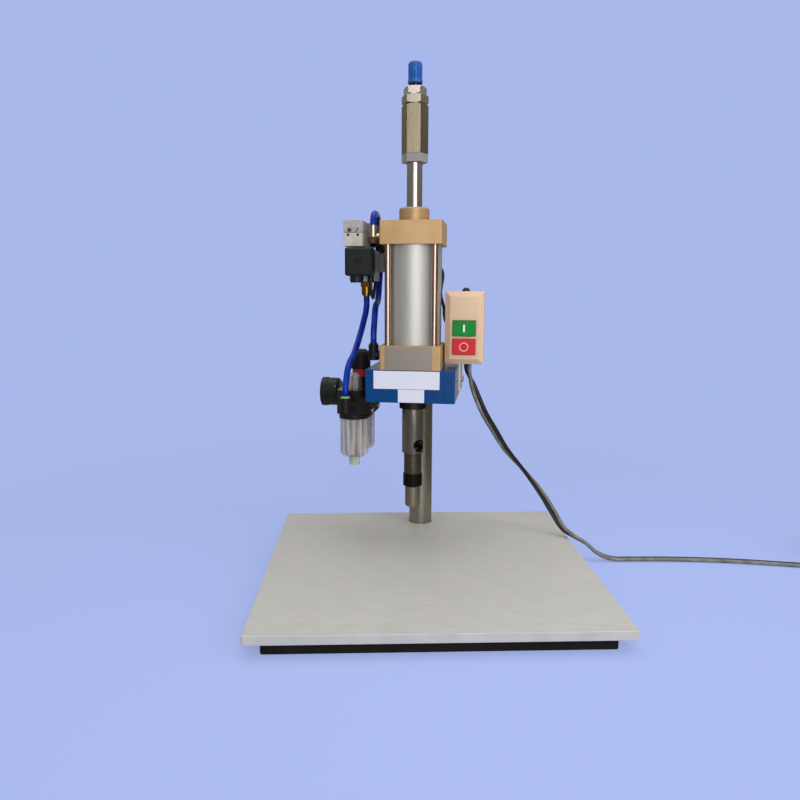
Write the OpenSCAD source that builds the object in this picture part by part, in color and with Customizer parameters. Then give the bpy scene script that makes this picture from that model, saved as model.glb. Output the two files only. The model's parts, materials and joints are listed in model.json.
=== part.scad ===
// Pneumatic punch press on a round column, with a push-button box and an air service unit.
// Millimetres, +Z up. The origin is on the table under the punch axis and +Y points to the column.

/* [Base] */
// Thickness of the steel base plate
plate_t = 15; // [10:1:25]
// Width of the steel base plate
plate_w = 358; // [300:1:420]
// Depth of the steel base plate
plate_d = 355; // [300:1:400]
// Thickness of the cutting board
board_t = 10; // [6:1:20]
// Width of the cutting board
board_w = 390; // [320:1:460]
// Depth of the cutting board
board_d = 370; // [320:1:420]
// Distance from the front edge of the board to the column axis
board_front = 335; // [280:1:360]
// Angle at which the head is swung about the column, seen as a turn of the base
base_turn = 10; // [0:1:30]

/* [Column] */
// Diameter of the column
column_d = 32; // [28:1:38]
// Distance from the punch axis to the column axis
column_y = 96; // [86:1:110]
// Height of the column above the table
column_top = 330; // [320:1:400]

/* [Head block] */
// Width of the head block
block_w = 110; // [104:1:120]
// Height of the head block
block_h = 40; // [36:1:50]
// Underside of the head block above the table
block_z = 219; // [205:1:230]
// Distance from the punch axis to the front face of the block
block_front = 38.5; // [38:0.5:44]
// Distance from the column axis to the rear face of the block
block_rear = 34; // [30:1:44]

/* [Cylinder] */
// Side of the square end caps
cap_w = 75; // [72:1:80]
// Height of the lower cap
lower_cap_h = 29.5; // [26:0.5:34]
// Height of the upper cap
upper_cap_h = 27.5; // [26:0.5:34]
// Length of the barrel between the caps
barrel_l = 120.5; // [115:0.5:140]
// Inside diameter of the barrel
bore_d = 63; // [60:1:64]
// Wall of the barrel
barrel_wall = 2.5; // [2:0.1:3]
// Half the spacing of the tie rods
tie_at = 28.25; // [28:0.25:29]
// Diameter of the tie rods
tie_d = 8; // [6:0.5:8]
// Height of the gland collar on the upper cap
gland_h = 17; // [12:1:20]
// Diameter of the gland collar
gland_d = 37; // [34:1:40]

/* [Ram and punch] */
// Diameter of the rod above the piston
rod_d = 19; // [17:0.5:20]
// Diameter of the ram below the piston
ram_d = 28; // [26:0.5:29]
// Travel of the ram
stroke = 52.5; // [40:0.5:54]
// Height of the punch from its edge to the clamp collar
punch_l = 27; // [22:1:32]
// Outside diameter of the punch
punch_d = 19.5; // [18:0.5:21]
// Height of the clamp collar
collar_h = 17; // [14:1:20]
// Height of the punch holder
holder_h = 27.5; // [24:0.5:34]
// Diameter of the punch holder
holder_d = 22.8; // [21:0.1:24]

/* [Stroke adjuster] */
// Across flats of the adjusting sleeve
sleeve_af = 28; // [26:1:32]
// Length of the adjusting sleeve
sleeve_l = 66.5; // [50:0.5:80]
// Thickness of the bumper under the sleeve
bumper_h = 10; // [6:1:14]
// Across flats of the lock nut
nut_af = 24; // [22:1:27]
// Height of the lock nut
nut_h = 9.3; // [7:0.1:12]
// Diameter of the knob on the stud
knob_d = 17.5; // [17:0.5:24]
// Height of the knob on the stud
knob_h = 24.5; // [20:0.5:34]

/* [Switch box] */
// Width of the switch box
box_w = 48; // [44:1:56]
// Height of the switch box
box_h = 89.5; // [84:0.5:100]
// Depth of the switch box
box_d = 46; // [40:1:54]
// Depth of its front cover
cover_d = 22; // [18:1:28]
// Width of a push button
button_w = 28; // [24:0.5:30]
// Height of a push button
button_h = 19; // [16:0.5:20]
// Travel of a push button
button_travel = 2.5; // [1:0.5:3]

/* [Valve] */
// Width of the valve body
valve_w = 24; // [22:1:26]
// Depth of the valve body
valve_d = 34; // [32:1:40]
// Height of the valve body
valve_h = 73; // [66:1:80]
// Depth of the pilot block in front of the valve body
pilot_d = 46; // [44:1:50]
// Height of the pilot block
pilot_h = 32.5; // [28:0.5:36]
// Side of the coil, seen from the front
coil_w = 32; // [30:1:34]
// Side of the connector plug
plug_w = 34; // [30:1:35]
// Depth of the connector plug
plug_d = 22; // [18:1:24]

/* [Air service unit] */
// Width of a unit's body
unit_w = 39.5; // [36:0.5:40]
// Depth of a unit's body
unit_d = 43; // [40:1:48]
// Height of a unit's body
unit_h = 37.5; // [34:0.5:44]
// Diameter of the bowls
bowl_d = 36; // [32:0.5:36]
// Height of the bowls
bowl_h = 50.5; // [40:0.5:60]
// Diameter of the pressure gauge
gauge_d = 39; // [36:1:42]
// Depth of the pressure gauge
gauge_l = 24.5; // [22:0.5:32]
// Diameter of the pressure knob
dial_knob_d = 26; // [24:1:30]

/* [Hoses and leads] */
// Outside diameter of the air hoses
hose_d = 8; // [7:0.5:8]
// Outside diameter of the mains lead
mains_d = 8; // [7:0.5:8]
// Outside diameter of the solenoid lead
wire_d = 4; // [4:0.5:5]

/* [Hidden] */
$fn = 64;
fit = 0.05;
air = 0.3;
cut = 1;

board_top = plate_t + board_t;
board_back = board_d - board_front;
plate_back = board_back - 5;
column_r = column_d / 2;
seat_depth = 2;

block_top = block_z + block_h;
block_y1 = column_y + block_rear;
guide_flange_h = 12;
guide_flange_r = 17.5;
guide_r = 16;
slit_w = 3;
clamp_y = column_y + (column_r + block_rear) / 2;
clamp_z = [block_z + 10, block_top - 10];

bolt_r = 4;
bolt_head_r = 6.5;
bolt_head_h = 8;
bolt_l = 37;
bolt_hex_r = 3.4;
bolt_seat = 14;

half_cap = cap_w / 2;
cap_corner = 2;
lower_z1 = block_top + lower_cap_h;
upper_z0 = lower_z1 + barrel_l;
upper_z1 = upper_z0 + upper_cap_h;
bore_r = bore_d / 2;
barrel_r = bore_r + barrel_wall;
register_h = 5;
register_r = bore_r - 0.1;
seal_w = 2;
port_r = 6;
port_depth = 9;
passage_r = 3;
passage_x = -20;
lower_port_z = block_top + lower_cap_h / 2;
upper_port_z = upper_z0 + 10;
tie_grip = 13;
tie_nut_r = 6.5;
tie_nut_h = 8;
tie_nut_seat = 10;
gland_z1 = upper_z1 + gland_h;
gland_spigot_r = 13;
gland_spigot_h = 9;
gland_seal_h = 4;
gland_bevel = 1.5;

rod_r = rod_d / 2;
ram_r = ram_d / 2;
punch_r = punch_d / 2;
punch_z = board_top + stroke + 0.5;
collar_z = punch_z + punch_l;
holder_z = collar_z + collar_h;
ram_z = holder_z + holder_h;
collar_r = 12.4;
collar_bevel = 1;
collar_screw_r = 2.5;
shank_r = 7.5;
slug_r = 5.5;
punch_bevel = 0.9;
punch_land = 0.4;
punch_flare_h = 10;
spigot_h = 6.5;
window_r = 7.6;
window_up = 10;
window_turn = -48;
window_tilt = 22;
slug_bore_h = 21;
piston_h = 24;
piston_z1 = upper_z0 - register_h - 2;
piston_z0 = piston_z1 - piston_h;
piston_r = bore_r - 0.1;
ring_h = 4;
stud_r = 6;
stud_grip = 14;

bumper_z = gland_z1 + stroke + 0.5;
sleeve_z = bumper_z + bumper_h;
sleeve_z1 = sleeve_z + sleeve_l;
sleeve_head_z = sleeve_z1 - 10.5;
nut_z = sleeve_z1 + 0.2;
nut_z1 = nut_z + nut_h;
neck_h = 4.7;
knob_z = nut_z1 + neck_h;
knob_rim = 3;
thread_r = 7.9;
thread_z = sleeve_z + 24;
thread_top = knob_z + knob_h - 9;

box_x0 = half_cap + 2;
box_x1 = box_x0 + box_w;
box_y0 = -10;
box_y1 = box_y0 + box_d;
box_z0 = block_top + 5.5;
box_z1 = box_z0 + box_h;
box_cx = (box_x0 + box_x1) / 2;
split_y = box_y0 + cover_d;
box_wall = 3;
box_corner = 2.2;
box_rim = 6.5;
box_rim_d = 5;
stop_z = box_z0 + 21.8;
start_z = stop_z + button_h + 3.7;
button_proud = 3;
button_flange = 1.4;
gland_x = box_cx + 4;
gland_y = split_y + 9;
dome_r = 5.3;
dome_sink = 0.7;
wire_in_z = box_z1 + 2.3;
gland_flange_r = 6;
gland_flange_h = 2;
top_gland_x = box_cx;
top_gland_y = split_y + 14;
bracket_t = 3;
bracket_y1 = 72;
bracket_z0 = block_z + 6;
bracket_top = box_z1 - 12;

valve_x1 = -half_cap - 24.5;
valve_x0 = valve_x1 - valve_w;
valve_cx = (valve_x0 + valve_x1) / 2;
valve_y0 = 34;
valve_y1 = valve_y0 + valve_d;
valve_z1 = upper_z1 + 3.5;
valve_z0 = valve_z1 - valve_h;
valve_port_z = upper_port_z - 2;
port_a_y = valve_y0 + 8;
port_b_y = valve_y0 + 26;
port_p_x = valve_cx + 4.5;
port_p_y = valve_y0 + 17;
pilot_y0 = valve_y0 - pilot_d;
pilot_z0 = valve_z1 - pilot_h;
coil_x0 = valve_x0 + 5;
coil_cx = coil_x0 + coil_w / 2;
coil_y0 = pilot_y0 + 8;
coil_y1 = valve_y0 - 0.5;
coil_z1 = pilot_z0 - 3.5;
coil_z0 = coil_z1 - 38;
plug_y0 = coil_y0 - plug_d;
plug_z1 = coil_z1 + 2;
plug_z0 = plug_z1 - plug_w;
plug_gland_r = 4;
plug_boss_r = 8;
plug_boss_x = coil_cx - 4;
plug_gland_h = 8;
override_x = valve_x0 + 7.5;
override_z = valve_z1 - 12.3;
override_r = 2.5;
seam_h = 0.8;
seam_d = 0.7;
end_cap_h = 9;
pilot_seam_z = valve_z1 - 15.6;
pilot_screw_z = valve_z1 - 18.2;
arm_z0 = valve_z0 + 11;
arm_z1 = arm_z0 + 24;

elbow_reach = 13.5;
elbow_r = 6.5;
elbow_hub_r = 5.7;
elbow_flange = 5;
valve_reach = 9.5;
socket_h = 15;
ring_r = 5.2;
ring_proud = 2;

unit_x1 = -block_w / 2 - bracket_t;
unit_x0 = unit_x1 - unit_w;
unit_cx = (unit_x0 + unit_x1) / 2;
oiler_y0 = -15;
oiler_y1 = oiler_y0 + unit_d;
oiler_cy = (oiler_y0 + oiler_y1) / 2 - 1.5;
filter_y1 = oiler_y1 + unit_d;
filter_cy = (oiler_y1 + filter_y1) / 2 + 1.5;
unit_z1 = block_z + 10;
unit_z0 = unit_z1 - unit_h;
unit_chamfer = 7;
neck_ring_h = 6.5;
neck_ring_r = unit_w / 2 - 0.3;
bowl_r = bowl_d / 2;
bowl_z0 = unit_z0 - bowl_h;
bowl_wall = 2.5;
bowl_round = 6;
bowl_ribs = 10;
bowl_rib_w = 1.6;
bowl_rib_d = 0.6;
drain_r = 6.8;
drain_h = 12;
drain_stem_r = 3;
sight_r = 7.75;
sight_h = 21;
bonnet_r = 15;
bonnet_h = 11;
lock_r = 11.5;
lock_h = 10;
spindle_r = 5;
dial_knob_z = unit_z1 + bonnet_h + lock_h + 0.4;
dial_knob_h = 26;
gauge_r = gauge_d / 2;
gauge_z = unit_z1 - 11;
gauge_x1 = unit_x0 - 8.5;
gauge_x0 = gauge_x1 - gauge_l;
gauge_floor = gauge_x1 - 6;
needle_x = gauge_floor - 3;
needle_l = 13;
bezel_l = 8;
bezel_step = 0.8;
gauge_bevel = 3;
gauge_back_r = gauge_r - bezel_step;
outlet_x = unit_cx - 4;
outlet_z = unit_z0 + 17.5;
inlet_r = 6;

screw_r = 2;
screw_head_r = 3.8;
screw_head_h = 2.6;
screw_l = 9;
unit_screw_y = [20, 56];
unit_screw_z = block_top - 18;
box_screw_y = [50, 64];
box_screw_low = block_z + 20;
box_screw_z = [box_z0 + 20, box_z1 - 24];
plate_screw_x = [-15, 15];
plate_screw_z = upper_z1 - 9;
plate_reach = 22;

// The routes of the hoses and leads run through points chosen by hand.
elbow_x = -half_cap - elbow_reach;
valve_elbow_x = valve_x1 + valve_reach;
upper_socket_z = upper_port_z + socket_h;
valve_socket_z = valve_port_z + socket_h;
arch_r = 16.5;
hose_in = 10;
route_a = concat(
    [[elbow_x, 0, upper_socket_z - hose_in], [elbow_x, 0, upper_socket_z]],
    [for (a = [165:-15:15])
        let (part = (180 - a) / 180)
            [elbow_x + (valve_elbow_x - elbow_x) * part,
                (a < 90 ? port_a_y - arch_r : arch_r) + arch_r * cos(a),
                upper_socket_z + (valve_socket_z - upper_socket_z) * part + arch_r * sin(a)]],
    [[valve_elbow_x, port_a_y, valve_socket_z], [valve_elbow_x, port_a_y, valve_socket_z - hose_in]]
);
route_b = [
    [valve_elbow_x, port_b_y, valve_port_z - socket_h + hose_in],
    [valve_elbow_x, port_b_y, valve_port_z - socket_h],
    [valve_elbow_x, port_b_y - 1, valve_port_z - 34],
    [valve_elbow_x, port_b_y - 8, valve_port_z - 54],
    [valve_elbow_x + 0.5, port_b_y - 22, valve_port_z - 76],
    [valve_elbow_x + 1, 18, lower_port_z + 60],
    [elbow_x, 5, lower_port_z + 40],
    [elbow_x, 0, lower_port_z + 26],
    [elbow_x, 0, lower_port_z + socket_h],
    [elbow_x, 0, lower_port_z + socket_h - hose_in]
];
route_p = [
    [port_p_x, port_p_y, valve_z0 - 20 + hose_in],
    [port_p_x, port_p_y, valve_z0 - 20],
    [port_p_x, port_p_y - 2, valve_z0 - 36],
    [port_p_x - 2.5, port_p_y - 10, valve_z0 - 54],
    [port_p_x - 5.5, port_p_y - 24, valve_z0 - 74],
    [port_p_x - 8.5, 8, valve_z0 - 93],
    [outlet_x + 1, -12, outlet_z + 52],
    [outlet_x, -24, outlet_z + 34],
    [outlet_x, oiler_y0 - elbow_reach, outlet_z + 22],
    [outlet_x, oiler_y0 - elbow_reach, outlet_z + socket_h],
    [outlet_x, oiler_y0 - elbow_reach, outlet_z + socket_h - hose_in]
];
wire_x = coil_cx + plug_w / 2 - 4.5;
wire_y = coil_y0 - 6;
wire_z = plug_z0 - plug_gland_h;
route_wire = [
    [wire_x, wire_y, wire_z + 6],
    [wire_x, wire_y, wire_z],
    [wire_x + 0.2, wire_y + 1, wire_z - 9],
    [wire_x + 0.6, wire_y + 6, wire_z - 16],
    [wire_x, wire_y + 14, wire_z - 18.5],
    [wire_x - 1.2, wire_y + 25, wire_z - 18],
    [wire_x - 2.7, wire_y + 36, wire_z - 15],
    [wire_x - 3.5, wire_y + 45, wire_z - 8.5],
    [wire_x - 3.2, wire_y + 51, wire_z + 1],
    [wire_x - 1.5, wire_y + 54.5, wire_z + 11],
    [wire_x + 2, wire_y + 56.5, wire_z + 19],
    [wire_x + 9, 48.5, wire_z + 23.5],
    [-33, 50.5, wire_z + 25],
    [-18, 52, wire_z + 25],
    [0, 52.5, wire_z + 25],
    [14, 52, wire_z + 24.5],
    [25, 51, wire_z + 22],
    [31, 50, wire_z + 15.5],
    [31.8, 49.5, wire_z + 6.5],
    [30, 49.5, wire_z - 5],
    [29.4, 49.5, wire_z - 13],
    [31.5, 49.7, wire_z - 23],
    [33.8, 50, wire_z - 32],
    [34.4, 50.2, wire_z - 41.5],
    [37, 51, wire_z - 51],
    [43.5, 52, wire_z - 57.5],
    [52.5, 53, wire_z - 58],
    [60, 54, wire_z - 52],
    [top_gland_x, 54.5, wire_z - 42],
    [top_gland_x, 54.3, wire_z - 30],
    [top_gland_x, 52, wire_z - 19],
    [top_gland_x, 46.5, wire_in_z - 2.8],
    [top_gland_x, top_gland_y + 13, wire_in_z],
    [top_gland_x, top_gland_y + 5.5, wire_in_z],
    [top_gland_x, top_gland_y, wire_in_z]
];
floor_z = mains_d / 2 + 0.1;
on_board_z = board_top + mains_d / 2 + 0.3;
loop_c = [585, 100];
loop_r = 44;
loop_turns = 4;
loop_rings = 24;
loop_a0 = -90;
loop_pitch = mains_d + 0.9;
loop_y0 = loop_c[1] - loop_r;
lead_y = gland_y - 8;
plug_half = 10.1;
plug_neck_r = 7;
plug_neck_l = 22;
plug_body_w = 26;
plug_body_l = 28;
pin_l = 16;
mains_run = [
    [gland_x, gland_y, box_z0 - gland_flange_h - 0.1],
    [gland_x, gland_y, box_z0 - 7],
    [gland_x + 2.4, gland_y, box_z0 - 17],
    [gland_x + 7, lead_y + 8.5, box_z0 - 30],
    [gland_x + 13.5, lead_y + 10, box_z0 - 47],
    [gland_x + 22, lead_y + 12, box_z0 - 66],
    [gland_x + 36, lead_y + 26, box_z0 - 92],
    [gland_x + 52, lead_y + 40, box_z0 - 120],
    [gland_x + 76, lead_y + 52, box_z0 - 150],
    [gland_x + 102, lead_y + 58, box_z0 - 184],
    [gland_x + 119, lead_y + 55, box_z0 - 210],
    [gland_x + 132, lead_y + 46, on_board_z + 7],
    [gland_x + 144, lead_y + 36, on_board_z + 1],
    [gland_x + 160, lead_y + 28, on_board_z - 6],
    [gland_x + 176, lead_y + 26, floor_z + 8],
    [gland_x + 194, lead_y + 28, floor_z + 1],
    [gland_x + 220, lead_y + 32, floor_z],
    [gland_x + 260, lead_y + 38, floor_z],
    [gland_x + 310, lead_y + 43, floor_z],
    [gland_x + 360, lead_y + 45, floor_z],
    [gland_x + 410, lead_y + 44, floor_z],
    [loop_c[0] - 65, loop_y0, floor_z],
    [loop_c[0] - 25, loop_y0, floor_z]
];
loop_path = [for (i = [1:loop_turns * loop_rings])
    let (a = loop_a0 + i * 360 / loop_rings)
    [loop_c[0] + loop_r * cos(a), loop_c[1] + loop_r * sin(a), floor_z + loop_pitch * i / loop_rings]];
loop_z1 = floor_z + loop_pitch * loop_turns;
tail = [
    [loop_c[0] + 18, loop_y0, loop_z1 + 1],
    [loop_c[0] + 40, loop_y0 - 3, loop_z1 - 3],
    [loop_c[0] + 62, loop_y0 - 8, loop_z1 - 15],
    [loop_c[0] + 82, loop_y0 - 14, loop_z1 - 23],
    [loop_c[0] + 98, loop_y0 - 18, plug_half],
    [loop_c[0] + 110, loop_y0 - 21, plug_half]
];
coil_run = concat([[loop_c[0] - 25, loop_y0, floor_z], [loop_c[0], loop_y0, floor_z]], loop_path, tail);
plug_end = tail[5];
plug_turn = atan2(tail[5][1] - tail[4][1], tail[5][0] - tail[4][0]);
tie_wall = 1.4;
tie_z0 = floor_z + loop_pitch / 2 - mains_d / 2;
tie_z1 = tie_z0 + loop_pitch * (loop_turns - 1) + mains_d;

function unit3(v) = v / norm(v);
function tangent(p, i) = unit3(p[min(i + 1, len(p) - 1)] - p[max(i - 1, 0)]);
function carry(u, t) = unit3(u - t * (u * t));
function sides(p, i, u) =
    i == len(p) ? [] : let (w = carry(u, tangent(p, i))) concat([w], sides(p, i + 1, w));
function first_side(t) = carry(abs(t[2]) > 0.9 ? [1, 0, 0] : [0, 0, 1], t);

// A round tube of n sides through the points of a route.
module tube(p, r, n) {
    us = sides(p, 0, first_side(tangent(p, 0)));
    pts = [for (i = [0:len(p) - 1])
        let (t = tangent(p, i), u = us[i], v = cross(t, u))
        for (k = [0:n - 1]) p[i] + r * (u * cos(k * 360 / n) + v * sin(k * 360 / n))];
    last = (len(p) - 1) * n;
    walls = [for (i = [0:len(p) - 2]) for (k = [0:n - 1])
        [i * n + k, (i + 1) * n + k, (i + 1) * n + (k + 1) % n, i * n + (k + 1) % n]];
    ends = [[for (k = [0:n - 1]) k], [for (k = [n - 1:-1:0]) last + k]];
    polyhedron(points = pts, faces = concat(ends, walls), convexity = 8);
}

// Places a piece of the base, whose own origin is the column axis.
module on_base() {
    translate([0, column_y, 0])
        rotate([0, 0, base_turn])
            children();
}

// A plate outline with round corners, centred.
module round_rect(w, d, r) {
    square([w - 2 * r, d], center = true);
    square([w, d - 2 * r], center = true);
    for (x = [-1, 1])
        for (y = [-1, 1])
            translate([x * (w / 2 - r), y * (d / 2 - r)])
                circle(r = r);
}

// A block with round vertical edges between two corners.
module upright_block(a, b, r) {
    translate([(a[0] + b[0]) / 2, (a[1] + b[1]) / 2, a[2]])
        linear_extrude(height = b[2] - a[2])
            round_rect(b[0] - a[0], b[1] - a[1], r);
}

// A block whose edges along Y are round.
module front_block(a, b, r) {
    translate([(a[0] + b[0]) / 2, b[1], (a[2] + b[2]) / 2])
        rotate([90, 0, 0])
            linear_extrude(height = b[1] - a[1])
                round_rect(b[0] - a[0], b[2] - a[2], r);
}

// A block along Y whose front edges are cut back all round, by an inset over a depth.
module pillow_block(a, b, r, inset, depth) {
    w = b[0] - a[0];
    l = b[1] - a[1];
    h = b[2] - a[2];
    intersection() {
        front_block(a, b, r);
        translate([a[0], a[1], a[2] - cut])
            linear_extrude(height = h + 2 * cut)
                polygon([[inset, 0], [w - inset, 0], [w, depth], [w, l], [0, l], [0, depth]]);
        translate([a[0] - cut, a[1], a[2]])
            rotate([90, 0, 90])
                linear_extrude(height = w + 2 * cut)
                    polygon([[0, inset], [0, h - inset], [depth, h], [l, h], [l, 0], [depth, 0]]);
    }
}

// A block whose vertical edges are cut off at 45 degrees.
module chamfered_block(a, b, c) {
    w = b[0] - a[0];
    d = b[1] - a[1];
    translate(a)
        linear_extrude(height = b[2] - a[2])
            polygon([[c, 0], [w - c, 0], [w, c], [w, d - c], [w - c, d], [c, d], [0, d - c], [0, c]]);
}

// A shallow groove all round a block, at one height.
module groove_round(a, b, z, high, deep) {
    difference() {
        block_between([a[0] - cut, a[1] - cut, z], [b[0] + cut, b[1] + cut, z + high]);
        block_between([a[0] + deep, a[1] + deep, z - cut], [b[0] - deep, b[1] - deep, z + high + cut]);
    }
}

// Straight flutes round a knob.
module flutes(n, r, at, z0, z1) {
    for (i = [0:n - 1])
        rotate([0, 0, i * 360 / n])
            translate([at, 0, 0])
                rod(r, z0, z1);
}

// A plain block between two corners.
module block_between(a, b) {
    translate(a)
        cube(b - a);
}

// A rod between two heights.
module rod(r, z0, z1) {
    translate([0, 0, z0])
        cylinder(r = r, h = z1 - z0);
}

// A ring between two heights.
module ring(r0, r1, z0, z1) {
    difference() {
        rod(r1, z0, z1);
        rod(r0, z0 - cut, z1 + cut);
    }
}

// Cylinders along X and Y, from a point.
module rod_x(p, r, l) {
    translate(p)
        rotate([0, 90, 0])
            cylinder(r = r, h = l);
}

module rod_y(p, r, l) {
    translate(p)
        rotate([-90, 0, 0])
            cylinder(r = r, h = l);
}

// Repeats a piece at the four tie rods.
module at_ties() {
    for (x = [-1, 1])
        for (y = [-1, 1])
            translate([x * tie_at, y * tie_at, 0])
                children();
}

// A socket head screw pointing up, with the underside of its head at the origin.
module socket_screw(r, head_r, head_h, l, hex_r) {
    difference() {
        union() {
            cylinder(r = r, h = l);
            translate([0, 0, -head_h])
                cylinder(r = head_r, h = head_h);
        }
        translate([0, 0, -head_h - cut])
            cylinder(r = hex_r, h = head_h * 0.6 + cut, $fn = 6);
    }
}

// A push-in elbow: its thread runs along +X from the port face at the origin and its socket points up.
module push_elbow(reach = elbow_reach) {
    flange = min(elbow_flange, reach - elbow_r - 0.5);
    difference() {
        union() {
            rod_x([-reach, 0, 0], elbow_hub_r, reach);
            rod_x([-flange, 0, 0], elbow_r, flange);
            rod_x([-1, 0, 0], port_r - fit, port_depth);
            translate([-reach, 0, -elbow_r])
                cylinder(r = elbow_r, h = elbow_r + socket_h - ring_proud);
            translate([-reach, 0, socket_h - ring_proud])
                cylinder(r = ring_r, h = ring_proud);
        }
        translate([-reach, 0, socket_h - hose_in])
            cylinder(r = hose_d / 2 + fit, h = hose_in + cut);
        translate([-reach, 0, -passage_r])
            cylinder(r = passage_r, h = passage_r + socket_h);
        rod_x([-reach, 0, 0], passage_r - 0.4, reach + port_depth);
    }
}

module base_plate() {
    color([0.12, 0.10, 0.10])
        on_base()
            difference() {
                upright_block(
                    [-plate_w / 2, plate_back - plate_d, 0],
                    [plate_w / 2, plate_back, plate_t],
                    3
                );
                rod(column_r + fit, plate_t - seat_depth, plate_t + cut);
                rod(6.5, -cut, plate_t);
                rod(10, -cut, 8);
            }
}

module cutting_board() {
    color([0.93, 0.93, 0.91])
        on_base()
            difference() {
                upright_block(
                    [-board_w / 2, -board_front, plate_t],
                    [board_w / 2, board_back, board_top],
                    2
                );
                rod(column_r + 0.5, plate_t - cut, board_top + cut);
            }
}

module column() {
    color([0.75, 0.76, 0.78])
        translate([0, column_y, 0])
            difference() {
                union() {
                    rod(column_r, plate_t - seat_depth, column_top - 2);
                    translate([0, 0, column_top - 2])
                        cylinder(r1 = column_r, r2 = column_r - 2, h = 2);
                }
                rod(6 + fit, plate_t - seat_depth - cut, plate_t + 24);
            }
}

module column_bolt() {
    color([0.2, 0.2, 0.22])
        translate([0, column_y, 8])
            socket_screw(6, 9, 7, 28, 5);
}

module head_block() {
    color([0.05, 0.30, 0.53])
        difference() {
            upright_block([-block_w / 2, -block_front, block_z], [block_w / 2, block_y1, block_top], 2);
            rod(guide_r + fit, block_z - cut, block_top + cut);
            translate([0, column_y, 0])
                rod(column_r + fit, block_z - cut, block_top + cut);
            block_between(
                [-slit_w / 2, column_y, block_z - cut],
                [slit_w / 2, block_y1 + cut, block_top + cut]
            );
            for (z = clamp_z) {
                rod_x([-bolt_l / 2 - 3, clamp_y, z], bolt_r + fit, bolt_l);
                rod_x([0, clamp_y, z], bolt_r + 0.5, bolt_l);
                rod_x([bolt_l / 2, clamp_y, z], bolt_head_r + 0.5, block_w / 2);
            }
            at_ties() {
                rod(bolt_r + 0.5, block_z - cut, block_top + cut);
                rod(bolt_head_r + 0.5, block_z - cut, block_z + bolt_seat);
            }
            for (y = unit_screw_y)
                rod_x([-block_w / 2 - cut, y, unit_screw_z], screw_r + fit, screw_l + cut);
            for (y = box_screw_y)
                rod_x([block_w / 2 - screw_l, y, box_screw_low], screw_r + fit, screw_l + cut);
        }
}

module m8_screws() {
    color([0.18, 0.18, 0.2]) {
        at_ties()
            translate([0, 0, block_z + bolt_seat])
                socket_screw(bolt_r, bolt_head_r, bolt_head_h, bolt_l, bolt_hex_r);
        for (z = clamp_z)
            translate([bolt_l / 2, clamp_y, z])
                rotate([0, -90, 0])
                    socket_screw(bolt_r, bolt_head_r, bolt_head_h, bolt_l, bolt_hex_r);
    }
}

module ram_guide() {
    color([0.08, 0.08, 0.09])
        difference() {
            union() {
                rod(guide_flange_r, block_z - guide_flange_h, block_z);
                rod(guide_r, block_z, block_top - 1);
            }
            rod(ram_r + fit, block_z - guide_flange_h - cut, block_top);
        }
}

module lower_cap() {
    color([0.74, 0.60, 0.40])
        difference() {
            union() {
                upright_block(
                    [-half_cap, -half_cap, block_top],
                    [half_cap, half_cap, lower_z1],
                    cap_corner
                );
                rod(register_r, lower_z1, lower_z1 + register_h);
            }
            rod(ram_r + fit, block_top - cut, lower_z1 + register_h + cut);
            rod(ram_r + 3.5, block_top + 8, block_top + 12);
            ring(register_r - seal_w, register_r + cut, lower_z1 + 1.5, lower_z1 + 1.5 + seal_w);
            rod_x([-half_cap - cut, 0, lower_port_z], port_r, port_depth + cut);
            rod_x([-half_cap, 0, lower_port_z], passage_r, half_cap + passage_x);
            translate([passage_x, 0, 0])
                rod(passage_r, lower_port_z, lower_z1 + register_h + cut);
            at_ties() {
                rod(bolt_r + fit, block_top - cut, block_top + 13);
                rod(tie_d / 2 + fit, lower_z1 - tie_grip, lower_z1 + cut);
            }
        }
}

module upper_cap() {
    color([0.74, 0.60, 0.40])
        difference() {
            union() {
                upright_block(
                    [-half_cap, -half_cap, upper_z0],
                    [half_cap, half_cap, upper_z1],
                    cap_corner
                );
                rod(register_r, upper_z0 - register_h, upper_z0);
            }
            rod(rod_r + fit, upper_z0 - register_h - cut, upper_z1 + cut);
            rod(gland_spigot_r + fit, upper_z1 - gland_spigot_h, upper_z1 + cut);
            ring(register_r - seal_w, register_r + cut, upper_z0 - 1.5 - seal_w, upper_z0 - 1.5);
            rod_x([-half_cap - cut, 0, upper_port_z], port_r, port_depth + cut);
            rod_x([-half_cap, 0, upper_port_z], passage_r, half_cap + passage_x);
            translate([passage_x, 0, 0])
                rod(passage_r, upper_z0 - register_h - cut, upper_port_z);
            at_ties() {
                rod(tie_d / 2 + fit, upper_z0 - cut, upper_z1);
                rod(tie_nut_r + 0.4, upper_z1 - tie_nut_seat, upper_z1 + cut);
            }
            for (x = plate_screw_x)
                rod_y([x, half_cap - screw_l, plate_screw_z], screw_r + fit, screw_l + cut);
        }
}

module barrel() {
    color([0.76, 0.76, 0.74])
        ring(bore_r, barrel_r, lower_z1, upper_z0);
}

module tie_rods() {
    color([0.82, 0.82, 0.84])
        at_ties()
            rod(tie_d / 2, lower_z1 - tie_grip + 0.5, upper_z1 - tie_nut_seat + tie_nut_h - 1);
}

module tie_nuts() {
    color([0.7, 0.7, 0.72])
        at_ties()
            difference() {
                rod(tie_nut_r, upper_z1 - tie_nut_seat, upper_z1 - tie_nut_seat + tie_nut_h);
                rod(tie_d / 2 + fit, upper_z1 - tie_nut_seat - cut, upper_z1 - tie_nut_seat + tie_nut_h - 1);
                rod(bolt_hex_r, upper_z1 - tie_nut_seat, upper_z1 + cut);
            }
}

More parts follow.
